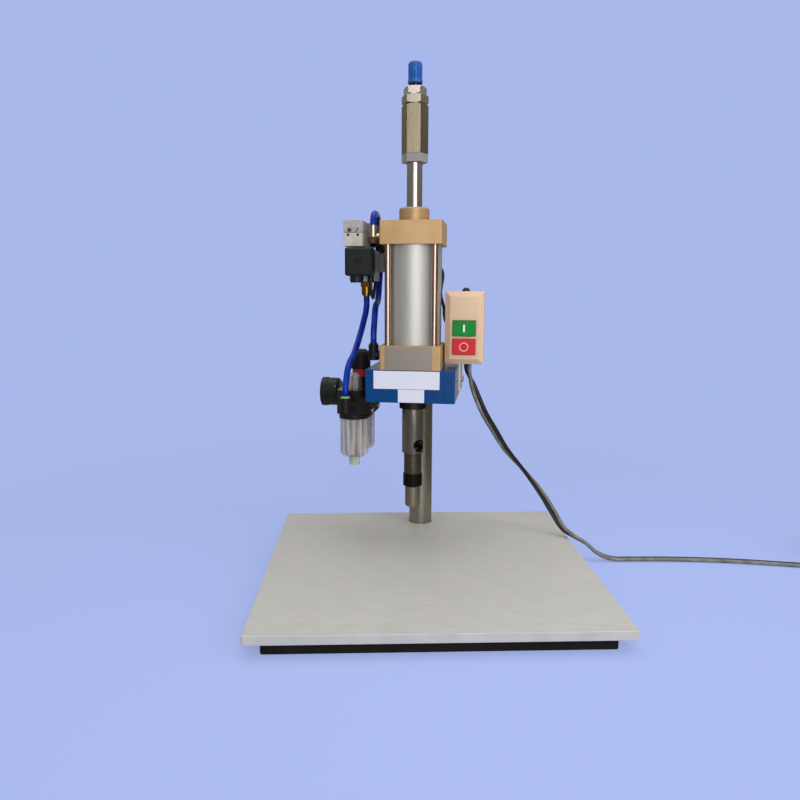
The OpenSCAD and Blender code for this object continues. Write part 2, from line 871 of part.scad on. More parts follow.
module upper_gland() {
    color([0.76, 0.62, 0.42])
        difference() {
            union() {
                rod(gland_d / 2, upper_z1, gland_z1 - gland_bevel);
                translate([0, 0, gland_z1 - gland_bevel])
                    cylinder(r1 = gland_d / 2, r2 = gland_d / 2 - gland_bevel, h = gland_bevel);
                rod(gland_spigot_r, upper_z1 - gland_spigot_h, upper_z1);
            }
            rod(rod_r + fit, upper_z1 - gland_spigot_h - cut, gland_z1 + cut);
            rod(rod_r + 3.5, gland_z1 - gland_seal_h, gland_z1 + cut);
        }
}

module seals() {
    color([0.06, 0.06, 0.06]) {
        ring(rod_r + fit, rod_r + 3.5, gland_z1 - gland_seal_h, gland_z1 - 0.5);
        ring(ram_r + fit, ram_r + 3.5, block_top + 8, block_top + 12);
        ring(register_r - seal_w, bore_r, lower_z1 + 1.5, lower_z1 + 1.5 + seal_w);
        ring(register_r - seal_w, bore_r, upper_z0 - 1.5 - seal_w, upper_z0 - 1.5);
    }
}

module piston() {
    color([0.7, 0.7, 0.72])
        difference() {
            rod(piston_r, piston_z0, piston_z1);
            rod(stud_r + fit, piston_z0 - cut, piston_z1 + cut);
            for (z = [piston_z0 + 4, piston_z1 - 4 - ring_h])
                ring(piston_r - 4, piston_r + cut, z, z + ring_h);
        }
}

module piston_seals() {
    color([0.06, 0.06, 0.06])
        for (z = [piston_z0 + 4, piston_z1 - 4 - ring_h])
            ring(piston_r - 4, bore_r - fit, z, z + ring_h);
}

module upper_rod() {
    color([0.82, 0.83, 0.85])
        difference() {
            union() {
                rod(rod_r, piston_z1, thread_z);
                rod(thread_r, thread_z, thread_top);
            }
            rod(stud_r + fit, piston_z1 - cut, piston_z1 + stud_grip + 2);
        }
}

module ram() {
    color([0.45, 0.44, 0.42])
        difference() {
            union() {
                rod(ram_r, ram_z, piston_z0);
                rod(stud_r, piston_z0, piston_z1 + stud_grip);
            }
            rod(shank_r, ram_z - cut, ram_z + slug_bore_h);
            translate([0, 0, ram_z + window_up + ram_r * tan(window_tilt)])
                rotate([0, 0, window_turn])
                    rotate([0, 90 + window_tilt, 0])
                        cylinder(r = window_r, h = 2 * ram_r);
        }
}

module punch_holder() {
    color([0.32, 0.32, 0.31])
        difference() {
            union() {
                rod(holder_d / 2, holder_z, ram_z);
                rod(shank_r - fit, ram_z, ram_z + spigot_h);
            }
            rod(slug_r, holder_z - cut, ram_z + spigot_h + cut);
            rod(shank_r + fit, holder_z - cut, holder_z + 14);
        }
}

module punch_collar() {
    color([0.07, 0.07, 0.08])
        difference() {
            union() {
                translate([0, 0, collar_z])
                    cylinder(r1 = collar_r - collar_bevel, r2 = collar_r, h = collar_bevel);
                rod(collar_r, collar_z + collar_bevel, holder_z - collar_bevel);
                translate([0, 0, holder_z - collar_bevel])
                    cylinder(r1 = collar_r, r2 = collar_r - collar_bevel, h = collar_bevel);
            }
            rod(shank_r + fit, collar_z - cut, holder_z + cut);
            rod(punch_r + fit, collar_z - cut, collar_z + 2);
            rod_x([shank_r - cut, 0, (collar_z + holder_z) / 2], collar_screw_r, collar_r);
        }
}

module punch() {
    color([0.62, 0.61, 0.58])
        rotate_extrude()
            polygon([
                [punch_r - punch_bevel, punch_z],
                [punch_r, punch_z + 2 * punch_bevel],
                [punch_r, collar_z + 2],
                [shank_r, collar_z + 2],
                [shank_r, holder_z + 13.5],
                [slug_r, holder_z + 13.5],
                [slug_r, punch_z + punch_flare_h],
                [punch_r - punch_bevel - punch_land, punch_z]
            ]);
}

module top_knob() {
    color([0.08, 0.37, 0.69])
        difference() {
            rotate_extrude()
                polygon([
                    [thread_r + fit, knob_z],
                    [knob_d / 2, knob_z],
                    [knob_d / 2, knob_z + knob_rim],
                    [knob_d / 2 - 0.4, knob_z + knob_rim + 0.6],
                    [knob_d / 2 - 0.4, knob_z + knob_h - 3.5],
                    [knob_d / 2 - 1.6, knob_z + knob_h - 1.4],
                    [knob_d / 2 - 4.5, knob_z + knob_h],
                    [0, knob_z + knob_h],
                    [0, thread_top + 0.5],
                    [thread_r + fit, thread_top + 0.5]
                ]);
            flutes(12, 1.1, knob_d / 2 + 0.25, knob_z + knob_rim + 1, knob_z + knob_h + cut);
        }
}

// A hexagonal bar with a flat towards the front.
module hex_bar(af, z0, z1) {
    translate([0, 0, z0])
        cylinder(r = af / 2 / cos(30), h = z1 - z0, $fn = 6);
}

// The turned profile that takes the corners off a hexagon at both ends.
module turned_ends(af, z0, z1, foot, head) {
    flat_r = af / 2 - 0.4;
    corner_r = af / 2 / cos(30) + 0.5;
    rotate_extrude()
        polygon([
            [0, z0], [flat_r, z0], [corner_r, z0 + foot],
            [corner_r, z1 - head], [flat_r, z1], [0, z1]
        ]);
}

module stroke_sleeve() {
    color([0.72, 0.70, 0.64])
        difference() {
            intersection() {
                hex_bar(sleeve_af, sleeve_z, sleeve_z1);
                union() {
                    turned_ends(sleeve_af, sleeve_z, sleeve_head_z - 0.2, 0.2, 1.5);
                    rod(sleeve_af / 2 - 0.7, sleeve_head_z - 1, sleeve_head_z + 1);
                    turned_ends(sleeve_af, sleeve_head_z + 0.2, sleeve_z1, 1.5, 1.8);
                }
            }
            rod(rod_r + fit, sleeve_z - cut, thread_z + 0.5);
            rod(thread_r + fit, thread_z, sleeve_z1 + cut);
        }
}

module bumper() {
    color([0.72, 0.72, 0.70])
        difference() {
            hex_bar(sleeve_af, bumper_z, sleeve_z);
            rod(rod_r + fit, bumper_z - cut, sleeve_z + cut);
        }
}

module lock_nut() {
    color([0.85, 0.85, 0.84])
        difference() {
            intersection() {
                hex_bar(nut_af, nut_z, nut_z1);
                turned_ends(nut_af, nut_z, nut_z1, 2, 2.4);
            }
            rod(thread_r + fit, nut_z - cut, nut_z1 + cut);
        }
}

module valve_body() {
    color([0.62, 0.63, 0.65])
        difference() {
            upright_block([valve_x0, valve_y0, valve_z0], [valve_x1, valve_y1, valve_z1], 1.5);
            for (z = [valve_z0 + end_cap_h, valve_z1 - end_cap_h - seam_h])
                groove_round([valve_x0, valve_y0, 0], [valve_x1, valve_y1, 0], z, seam_h, seam_d);
            for (y = [port_a_y, port_b_y])
                rod_x([valve_x1 - port_depth, y, valve_port_z], port_r, port_depth + cut);
            translate([port_p_x, port_p_y, 0])
                rod(port_r, valve_z0 - cut, valve_z0 + port_depth);
            for (z = [valve_z0 + 26, valve_z0 + 48])
                rod_x([valve_x0 - cut, port_p_y, z], 4, port_depth);
            for (z = [arm_z0 + 6, arm_z1 - 6])
                rod_x([valve_x1 - screw_l, port_p_y + 6, z], screw_r + fit, screw_l + cut);
        }
}

module valve_pilot() {
    color([0.80, 0.81, 0.82])
        difference() {
            pillow_block([valve_x0, pilot_y0, pilot_z0], [valve_x1, valve_y0, valve_z1], 2.5, 0.8, 0.8);
            groove_round([valve_x0, pilot_y0, 0], [valve_x1, valve_y0, 0], pilot_seam_z, seam_h, seam_d);
            rod_y([override_x, pilot_y0 - cut, override_z], override_r + fit, 6 + cut);
            translate([valve_x1 - 7, pilot_y0, override_z])
                rotate([0, -45, 0])
                    cube([6, 2, 1.2], center = true);
            for (x = [valve_x0 + 5.5, valve_x1 - 6.2])
                rod_y([x, pilot_y0 - cut, pilot_screw_z], 1.6, 2 + cut);
        }
}

module valve_override() {
    color([0.55, 0.48, 0.30])
        difference() {
            rod_y([override_x, pilot_y0 - 1, override_z], override_r, 5);
            translate([override_x, pilot_y0 - 1, override_z])
                rotate([0, 45, 0])
                    cube([6, 1.4, 0.9], center = true);
        }
}

module coil() {
    color([0.30, 0.31, 0.33]) {
        upright_block([coil_x0, coil_y0, coil_z0], [coil_x0 + coil_w, coil_y1, coil_z1], 2);
        translate([valve_cx, (coil_y0 + coil_y1) / 2, 0])
            rod(6, coil_z1, pilot_z0);
    }
}

module din_plug() {
    color([0.05, 0.05, 0.055])
        difference() {
            union() {
                pillow_block(
                    [coil_cx - plug_w / 2, plug_y0, plug_z0],
                    [coil_cx + plug_w / 2, coil_y0, plug_z1],
                    3, 2.5, 2
                );
                translate([plug_boss_x, (plug_y0 + coil_y0) / 2, 0])
                    rod(plug_boss_r, wire_z, plug_z0);
                translate([wire_x, wire_y, 0])
                    rod(plug_gland_r, wire_z, plug_z0);
            }
            translate([wire_x, wire_y, 0])
                rod(wire_d / 2 + fit, wire_z - cut, wire_z + 6);
            difference() {
                rod_y([coil_cx, plug_y0 - cut, (plug_z0 + plug_z1) / 2], 3.8, 2 + cut);
                rod_y([coil_cx, plug_y0 - 2 * cut, (plug_z0 + plug_z1) / 2], 3, 4 + cut);
            }
            translate([coil_cx, plug_y0, (plug_z0 + plug_z1) / 2])
                cube([6, 2, 1], center = true);
        }
}

module valve_plate() {
    color([0.6, 0.61, 0.62])
        difference() {
            union() {
                block_between(
                    [-half_cap, half_cap, arm_z0],
                    [plate_reach, half_cap + bracket_t, upper_z1 - 3]
                );
                block_between([valve_x1, half_cap, arm_z0], [-half_cap, half_cap + bracket_t, arm_z1]);
                block_between(
                    [valve_x1, half_cap, arm_z0],
                    [valve_x1 + bracket_t, valve_y1 - 2, arm_z1]
                );
            }
            for (x = plate_screw_x)
                rod_y([x, half_cap - cut, plate_screw_z], screw_r + 0.2, bracket_t + 2 * cut);
            for (z = [arm_z0 + 6, arm_z1 - 6])
                rod_x([valve_x1 - cut, port_p_y + 6, z], screw_r + 0.2, bracket_t + 2 * cut);
        }
}

module p_fitting() {
    color([0.72, 0.56, 0.28])
        translate([port_p_x, port_p_y, 0])
            difference() {
                union() {
                    rod(port_r - fit, valve_z0, valve_z0 + port_depth - 1);
                    translate([0, 0, valve_z0 - 8])
                        cylinder(r = 8, h = 8, $fn = 6);
                    rod(elbow_r, valve_z0 - 18, valve_z0 - 8);
                    rod(ring_r, valve_z0 - 20, valve_z0 - 18);
                }
                rod(hose_d / 2 + fit, valve_z0 - 20 - cut, valve_z0 - 20 + hose_in);
                rod(passage_r, valve_z0 - 20, valve_z0 + port_depth);
            }
}

module elbows() {
    color([0.07, 0.07, 0.075]) {
        for (z = [lower_port_z, upper_port_z])
            translate([-half_cap, 0, z])
                push_elbow();
        translate([valve_x1, port_a_y, valve_port_z])
            rotate([0, 0, 180])
                push_elbow(valve_reach);
        translate([valve_x1, port_b_y, valve_port_z])
            rotate([0, 180, 0])
                push_elbow(valve_reach);
        translate([outlet_x, oiler_y0, outlet_z])
            rotate([0, 0, 90])
                push_elbow();
    }
}

module hose_a() {
    color([0.05, 0.18, 0.6])
        tube(route_a, hose_d / 2, 10);
}

module hose_b() {
    color([0.05, 0.18, 0.6])
        tube(route_b, hose_d / 2, 10);
}

module hose_p() {
    color([0.05, 0.18, 0.6])
        tube(route_p, hose_d / 2, 10);
}

module oiler_body() {
    color([0.04, 0.04, 0.045])
        difference() {
            union() {
                chamfered_block(
                    [unit_x0, oiler_y0, unit_z0 + neck_ring_h],
                    [unit_x1, oiler_y1, unit_z1],
                    unit_chamfer
                );
                translate([unit_cx, oiler_cy, 0])
                    rod(neck_ring_r, unit_z0, unit_z0 + neck_ring_h);
            }
            rod_y([outlet_x, oiler_y0 - cut, outlet_z], port_r, port_depth + cut);
            translate([unit_cx, oiler_cy, 0]) {
                rod(bowl_r - bowl_wall - 3, unit_z0 - cut, unit_z0 + 10);
                rod(sight_r - 3, unit_z1 - 10, unit_z1 + cut);
            }
            rod_x([unit_x1 - screw_l, oiler_cy, unit_z0 + 10], screw_r + fit, screw_l + cut);
        }
}

module filter_body() {
    color([0.04, 0.04, 0.045])
        difference() {
            union() {
                chamfered_block(
                    [unit_x0, oiler_y1, unit_z0 + neck_ring_h],
                    [unit_x1, filter_y1, unit_z1],
                    unit_chamfer
                );
                translate([unit_cx, filter_cy, 0]) {
                    rod(neck_ring_r, unit_z0, unit_z0 + neck_ring_h);
                    rod(bonnet_r, unit_z1, unit_z1 + bonnet_h);
                    rod(spindle_r, unit_z1 + bonnet_h, dial_knob_z + 12);
                }
            }
            translate([unit_cx, filter_cy, 0])
                rod(bowl_r - bowl_wall - 3, unit_z0 - cut, unit_z0 + 10);
            rod_y([unit_cx, filter_y1 - 14, outlet_z], inlet_r, 14 + cut);
            rod_x([unit_x1 - screw_l, filter_cy, unit_z0 + 10], screw_r + fit, screw_l + cut);
            rod_x([unit_x0 - cut, filter_cy, gauge_z], 4 + fit, 8 + cut);
        }
}

// A clear bowl hanging under a unit, with a round bottom and a hole for the drain.
module bowl(y) {
    translate([unit_cx, y, 0]) {
        rotate_extrude()
            difference() {
                union() {
                    translate([0, bowl_z0 + bowl_round])
                        square([bowl_r, bowl_h - bowl_round]);
                    translate([0, bowl_z0])
                        square([bowl_r - bowl_round, bowl_round]);
                    intersection() {
                        translate([bowl_r - bowl_round, bowl_z0 + bowl_round])
                            circle(r = bowl_round);
                        translate([0, bowl_z0])
                            square([bowl_r, bowl_round]);
                    }
                }
                translate([-cut, bowl_z0 + bowl_round])
                    square([bowl_r - bowl_wall + cut, bowl_h]);
                translate([-cut, bowl_z0 + bowl_wall])
                    square([bowl_r - bowl_round + cut, bowl_round]);
                translate([-cut, bowl_z0 - cut])
                    square([drain_stem_r + fit + cut, bowl_h]);
            }
        for (i = [0:bowl_ribs - 1])
            rotate([0, 0, (i + 0.5) * 360 / bowl_ribs])
                block_between(
                    [bowl_r - 1, -bowl_rib_w / 2, bowl_z0 + bowl_round],
                    [bowl_r + bowl_rib_d, bowl_rib_w / 2, unit_z0]
                );
    }
}

module oiler_bowl() {
    color([0.85, 0.88, 0.88, 0.5])
        bowl(oiler_cy);
}

module filter_bowl() {
    color([0.85, 0.88, 0.88, 0.5])
        bowl(filter_cy);
}

module drain_cock() {
    color([0.72, 0.80, 0.66])
        translate([unit_cx, oiler_cy, 0]) {
            difference() {
                rod(drain_r, bowl_z0 - drain_h, bowl_z0 - 0.2);
                rod(2, bowl_z0 - drain_h - cut, bowl_z0 - 4);
                flutes(10, 0.9, drain_r + 0.2, bowl_z0 - drain_h - cut, bowl_z0 - 3);
            }
            rod(drain_stem_r, bowl_z0 - 0.2, bowl_z0 + bowl_wall + 3);
        }
}

module sight_dome() {
    color([0.88, 0.90, 0.90, 0.5])
        translate([unit_cx, oiler_cy, 0])
            difference() {
                union() {
                    rod(sight_r, unit_z1, unit_z1 + sight_h - 4);
                    translate([0, 0, unit_z1 + sight_h - 4])
                        cylinder(r1 = sight_r, r2 = sight_r - 3.5, h = 4);
                }
                rod(sight_r - 2, unit_z1 - cut, unit_z1 + sight_h - 6);
            }
}

module lock_ring() {
    color([0.80, 0.10, 0.10])
        translate([unit_cx, filter_cy, 0])
            difference() {
                ring(spindle_r + fit, lock_r, unit_z1 + bonnet_h, unit_z1 + bonnet_h + lock_h);
                flutes(18, 0.9, lock_r + 0.3, unit_z1 + bonnet_h + 2, unit_z1 + bonnet_h + lock_h + cut);
            }
}

module dial_knob() {
    color([0.04, 0.04, 0.045])
        translate([unit_cx, filter_cy, 0])
            difference() {
                rotate_extrude()
                    polygon([
                        [spindle_r + fit, dial_knob_z],
                        [dial_knob_d / 2, dial_knob_z],
                        [dial_knob_d / 2, dial_knob_z + dial_knob_h - 8],
                        [dial_knob_d / 2 - 2, dial_knob_z + dial_knob_h - 3],
                        [dial_knob_d / 2 - 6, dial_knob_z + dial_knob_h],
                        [0, dial_knob_z + dial_knob_h],
                        [0, dial_knob_z + 12.5],
                        [spindle_r + fit, dial_knob_z + 12.5]
                    ]);
                flutes(24, 1, dial_knob_d / 2 + 0.3, dial_knob_z + 3, dial_knob_z + dial_knob_h);
            }
}

module gauge_case() {
    color([0.05, 0.05, 0.055])
        difference() {
            union() {
                rod_x([gauge_x0, filter_cy, gauge_z], gauge_r, bezel_l);
                rod_x([gauge_x0, filter_cy, gauge_z], gauge_back_r, gauge_l - gauge_bevel);
                translate([gauge_x1 - gauge_bevel, filter_cy, gauge_z])
                    rotate([0, 90, 0])
                        cylinder(r1 = gauge_back_r, r2 = gauge_back_r - gauge_bevel, h = gauge_bevel);
                rod_x([gauge_x1, filter_cy, gauge_z], 6, unit_x0 - gauge_x1);
                rod_x([gauge_x1, filter_cy, gauge_z], 4, unit_x0 - gauge_x1 + 7);
            }
            difference() {
                rod_x([gauge_x0 - cut, filter_cy, gauge_z], gauge_r - 2, gauge_floor - gauge_x0 + cut);
                rod_x([needle_x - 1.5, filter_cy, gauge_z], 1, gauge_floor - needle_x + 2);
            }
            rod_x([gauge_floor + 2.5, filter_cy, gauge_z], 1.5, 24);
        }
}

module gauge_glass() {
    color([0.9, 0.93, 0.93, 0.4])
        rod_x([gauge_x0 + 1, filter_cy, gauge_z], gauge_r - 2 - fit, 2);
}

module gauge_needle() {
    color([0.08, 0.08, 0.08])
        difference() {
            union() {
                rod_x([needle_x, filter_cy, gauge_z], 2.4, 1);
                block_between(
                    [needle_x, filter_cy - 0.6, gauge_z - 4],
                    [needle_x + 1, filter_cy + 0.6, gauge_z + needle_l]
                );
            }
            rod_x([needle_x - cut, filter_cy, gauge_z], 1 + fit, 1 + 2 * cut);
        }
}

module unit_bracket() {
    color([0.6, 0.61, 0.62])
        difference() {
            block_between(
                [unit_x1, oiler_cy - 12, unit_z0 + 3],
                [-block_w / 2, filter_cy + 12, block_top - 10]
            );
            for (y = [oiler_cy, filter_cy])
                rod_x([unit_x1 - cut, y, unit_z0 + 10], screw_r + 0.2, bracket_t + 2 * cut);
            for (y = unit_screw_y)
                rod_x([unit_x1 - cut, y, unit_screw_z], screw_r + 0.2, bracket_t + 2 * cut);
        }
}

module switch_cover() {
    color([0.82, 0.70, 0.57])
        difference() {
            pillow_block(
                [box_x0, box_y0, box_z0],
                [box_x1, split_y, box_z1],
                box_corner, box_rim, box_rim_d
            );
            block_between(
                [box_x0 + box_wall, box_y0 + box_wall, box_z0 + box_wall],
                [box_x1 - box_wall, split_y + cut, box_z1 - box_wall]
            );
            for (z = [stop_z, start_z])
                block_between(
                    [box_cx - button_w / 2 - air, box_y0 - cut, z - button_h / 2 - air],
                    [box_cx + button_w / 2 + air, box_y0 + box_wall + cut, z + button_h / 2 + air]
                );
        }
}

module switch_back() {
    color([0.80, 0.68, 0.55])
        difference() {
            front_block([box_x0, split_y, box_z0], [box_x1, box_y1, box_z1], box_corner);
            block_between(
                [box_x0 + box_wall, split_y - cut, box_z0 + box_wall],
                [box_x1 - box_wall, box_y1 - box_wall, box_z1 - box_wall]
            );
            translate([gland_x, gland_y, 0])
                rod(4, box_z0 - cut, box_z0 + box_wall + cut);
            for (z = box_screw_z)
                rod_y([box_cx, box_y1 - screw_l, z], screw_r + fit, screw_l + cut);
        }
}

// A push button with a stop rim behind the cover.
module button(z) {
    block_between(
        [box_cx - button_w / 2, box_y0 - button_proud, z - button_h / 2],
        [box_cx + button_w / 2, box_y0 + box_wall + air, z + button_h / 2]
    );
    block_between(
        [box_cx - button_w / 2 - button_flange, box_y0 + box_wall + air, z - button_h / 2 - button_flange],
        [
            box_cx + button_w / 2 + button_flange,
            box_y0 + box_wall + air + 2,
            z + button_h / 2 + button_flange
        ]
    );
}

module start_button() {
    color([0.08, 0.51, 0.20])
        button(start_z);
}

module stop_button() {
    color([0.75, 0.14, 0.18])
        button(stop_z);
}

module switch_bracket() {
    color([0.6, 0.61, 0.62])
        difference() {
            union() {
                block_between(
                    [block_w / 2, box_y1, bracket_z0],
                    [block_w / 2 + bracket_t, bracket_y1, block_top + 30]
                );
                block_between(
                    [box_x0 + 2, box_y1, block_top + 4],
                    [box_x1 - 2, box_y1 + bracket_t, bracket_top]
                );
                block_between(
                    [block_w / 2, box_y1, bracket_z0],
                    [block_w / 2 + bracket_t, box_y1 + bracket_t, block_top + 30]
                );
            }
            for (y = box_screw_y)
                rod_x([block_w / 2 - cut, y, box_screw_low], screw_r + 0.2, bracket_t + 2 * cut);
            for (z = box_screw_z)
                rod_y([box_cx, box_y1 - cut, z], screw_r + 0.2, bracket_t + 2 * cut);
        }
}

module cord_glands() {
    color([0.06, 0.06, 0.065]) {
        translate([gland_x, gland_y, 0])
            rod(gland_flange_r, box_z0 - gland_flange_h, box_z0);
        difference() {
            intersection() {
                translate([top_gland_x, top_gland_y, box_z1 - dome_sink])
                    sphere(r = dome_r);
                block_between(
                    [top_gland_x - dome_r, top_gland_y - dome_r, box_z1],
                    [top_gland_x + dome_r, top_gland_y + dome_r, box_z1 + dome_r]
                );
            }
            rod_y([top_gland_x, top_gland_y, wire_in_z], wire_d / 2 + fit, 8);
        }
    }
}

module solenoid_lead() {
    color([0.05, 0.05, 0.05])
        tube(route_wire, wire_d / 2, 8);
}

module mains_lead() {
    color([0.05, 0.05, 0.05])
        tube(mains_run, mains_d / 2, 8);
}

module lead_coil() {
    color([0.05, 0.05, 0.05])
        tube(coil_run, mains_d / 2, 6);
}

module coil_tie() {
    color([0.06, 0.06, 0.06])
        translate([loop_c[0], loop_c[1] + loop_r, 0])
            difference() {
                block_between(
                    [-4, -mains_d / 2 - 0.5 - tie_wall, tie_z0 - 0.6 - tie_wall],
                    [4, mains_d / 2 + 0.5 + tie_wall, tie_z1 + 0.6 + tie_wall]
                );
                block_between(
                    [-4 - cut, -mains_d / 2 - 0.5, tie_z0 - 0.6],
                    [4 + cut, mains_d / 2 + 0.5, tie_z1 + 0.6]
                );
            }
}

module mains_plug() {
    color([0.05, 0.05, 0.05])
        translate(plug_end)
            rotate([0, 0, plug_turn]) {
                rotate([0, 90, 0])
                    cylinder(r1 = mains_d / 2 + 0.6, r2 = plug_neck_r, h = plug_neck_l);
                translate([plug_neck_l + plug_body_l, 0, 0])
                    rotate([0, 0, 90])
                        pillow_block(
                            [-plug_body_w / 2, 0, -plug_half + 0.1],
                            [plug_body_w / 2, plug_body_l, plug_half - 0.1],
                            4, 3, 3
                        );
                for (y = [-6.35, 6.35])
                    block_between(
                        [plug_neck_l + plug_body_l, y - 0.8, -3.2],
                        [plug_neck_l + plug_body_l + pin_l, y + 0.8, 3.2]
                    );
            }
}

// One pan head screw pointing along +X, with the underside of its head at the origin.
module m4_screw() {
    difference() {
        union() {
            rod_x([0, 0, 0], screw_r, screw_l);
            rod_x([-screw_head_h, 0, 0], screw_head_r, screw_head_h);
        }
        block_between([-screw_head_h - cut, -0.5, -2.4], [-screw_head_h + 1.2, 0.5, 2.4]);
        block_between([-screw_head_h - cut, -2.4, -0.5], [-screw_head_h + 1.2, 2.4, 0.5]);
    }
}

module m4_screws() {
    color([0.72, 0.72, 0.74]) {
        for (y = unit_screw_y)
            translate([unit_x1, y, unit_screw_z])
                m4_screw();
        for (y = [oiler_cy, filter_cy])
            translate([-block_w / 2, y, unit_z0 + 10])
                rotate([0, 0, 180])
                    m4_screw();
        for (y = box_screw_y)
            translate([block_w / 2 + bracket_t, y, box_screw_low])
                rotate([0, 0, 180])
                    m4_screw();
        for (z = box_screw_z)
            translate([box_cx, box_y1 + bracket_t, z])
                rotate([0, 0, -90])
                    m4_screw();
        for (x = plate_screw_x)
            translate([x, half_cap + bracket_t, plate_screw_z])
                rotate([0, 0, -90])
                    m4_screw();
        for (z = [arm_z0 + 6, arm_z1 - 6])
            translate([valve_x1 + bracket_t, port_p_y + 6, z])
                rotate([0, 0, 180])
                    m4_screw();
    }
}

base_plate();
cutting_board();
column();
column_bolt();
mains_lead();
lead_coil();
coil_tie();
mains_plug();
head_block();
m8_screws();
ram_guide();
lower_cap();
upper_cap();
barrel();
tie_rods();
tie_nuts();
upper_gland();
seals();
valve_body();
valve_pilot();
valve_override();
coil();
din_plug();
valve_plate();
p_fitting();
elbows();
hose_a();
hose_b();
hose_p();
oiler_body();
filter_body();
oiler_bowl();
filter_bowl();
drain_cock();
sight_dome();
lock_ring();
dial_knob();
gauge_case();
gauge_glass();
gauge_needle();
unit_bracket();
switch_cover();
switch_back();
start_button();
stop_button();
switch_bracket();
cord_glands();
solenoid_lead();
m4_screws();
piston();
piston_seals();
upper_rod();
ram();
punch_holder();
punch_collar();
punch();
top_knob();
stroke_sleeve();
bumper();
lock_nut();
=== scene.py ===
"""A bench-top pneumatic punch press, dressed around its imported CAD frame."""

import json
from math import cos, hypot, pi, radians, sin

import bmesh
import bpy
from mathutils import Matrix, Vector


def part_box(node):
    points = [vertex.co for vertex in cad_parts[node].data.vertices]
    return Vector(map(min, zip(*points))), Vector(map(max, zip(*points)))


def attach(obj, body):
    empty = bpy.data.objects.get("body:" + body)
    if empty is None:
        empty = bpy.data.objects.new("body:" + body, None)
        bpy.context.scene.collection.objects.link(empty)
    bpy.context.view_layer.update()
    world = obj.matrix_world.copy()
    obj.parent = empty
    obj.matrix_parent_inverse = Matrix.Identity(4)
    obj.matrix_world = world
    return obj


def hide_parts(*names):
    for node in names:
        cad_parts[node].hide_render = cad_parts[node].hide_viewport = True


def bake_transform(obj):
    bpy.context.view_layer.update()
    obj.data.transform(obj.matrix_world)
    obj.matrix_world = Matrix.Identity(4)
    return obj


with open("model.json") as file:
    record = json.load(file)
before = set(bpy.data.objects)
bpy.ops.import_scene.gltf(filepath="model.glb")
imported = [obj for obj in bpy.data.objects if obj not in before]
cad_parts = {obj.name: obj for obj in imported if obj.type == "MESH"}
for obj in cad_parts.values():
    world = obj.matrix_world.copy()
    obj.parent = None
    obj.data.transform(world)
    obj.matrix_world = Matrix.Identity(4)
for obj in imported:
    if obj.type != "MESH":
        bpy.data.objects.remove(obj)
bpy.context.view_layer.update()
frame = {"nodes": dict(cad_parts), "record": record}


# Camera: it stands a little to the right of the press at about the height of its head,
# looks slightly down and to the left, and sees the photograph's square frame.
def placed(name, data):
    """A new object with these data, put in the scene."""
    thing = bpy.data.objects.new(name, data)
    bpy.context.scene.collection.objects.link(thing)
    return thing


camera_data = bpy.data.cameras.new("photo_camera")
camera_data.sensor_width = 36
camera_data.lens = 30.77
camera = placed("photo_camera", camera_data)
bpy.context.scene.camera = camera
camera_place = Vector((0.1031, -0.8544, 0.3546))
camera_yaw = radians(8.0)
camera_pitch = radians(9.1)
camera_roll = radians(0.2)
camera.matrix_world = (
    Matrix.Translation(camera_place)
    @ Matrix.Rotation(camera_yaw, 4, "Z")
    @ Matrix.Rotation(pi / 2 - camera_pitch, 4, "X")
    @ Matrix.Rotation(camera_roll, 4, "Z")
)
bpy.context.scene.view_settings.view_transform = "Standard"


# Mains lead: a flat two-core flex, one core sleeved black and one grey, moulded side by side; the grey is
# partly a painted highlight.
# It leaves the switch box, drops over the board to the table, and its spare length is coiled.
def smooth_line(name, points, tilts=None):
    """A curve of one open spline that runs smoothly through the points."""
    data = bpy.data.curves.new(name, "CURVE")
    data.dimensions = "3D"
    data.resolution_u = 6
    spline = data.splines.new("BEZIER")
    spline.bezier_points.add(len(points) - 1)
    for i, point in enumerate(points):
        knot = spline.bezier_points[i]
        knot.co = point
        knot.handle_left_type = "AUTO"
        knot.handle_right_type = "AUTO"
        if tilts:
            knot.tilt = tilts[i]
    return placed(name, data)


def meshed(thing):
    """The evaluated mesh of an object, as new mesh data."""
    graph = bpy.context.evaluated_depsgraph_get()
    return bpy.data.meshes.new_from_object(thing.evaluated_get(graph))


def tint(red, green, blue):
    """A screen colour in values from 0 to 255, as linear light."""
    parts = [c / 255 for c in (red, green, blue)]
    return [c / 12.92 if c <= 0.04045 else ((c + 0.055) / 1.055) ** 2.4 for c in parts]


def shader_of(material):
    return material.node_tree.nodes["Principled BSDF"]


def set_values(material, values):
    """Puts constant values on the shader's own sockets."""
    for socket, value in values.items():
        shader_of(material).inputs[socket].default_value = value


def new_finish(name, colour, roughness, metallic=0.0):
    """A material with an even colour, roughness and metallic look."""
    material = bpy.data.materials.new(name)
    material.use_nodes = True
    set_values(material, {"Base Color": (*colour, 1), "Roughness": roughness, "Metallic": metallic})
    material.diffuse_color = (*colour, 1)
    return material


def grain(material, per_metre, stretch=(1, 1, 1), detail=3.0):
    """A noise pattern on the piece's own coordinates, in cycles to the metre."""
    nodes, links = material.node_tree.nodes, material.node_tree.links
    place = nodes.new("ShaderNodeTexCoord")
    mapping = nodes.new("ShaderNodeMapping")
    mapping.inputs["Scale"].default_value = stretch
    noise = nodes.new("ShaderNodeTexNoise")
    noise.inputs["Scale"].default_value = per_metre
    noise.inputs["Detail"].default_value = detail
    links.new(place.outputs["Object"], mapping.inputs["Vector"])
    links.new(mapping.outputs["Vector"], noise.inputs["Vector"])
    return noise.outputs["Fac"]


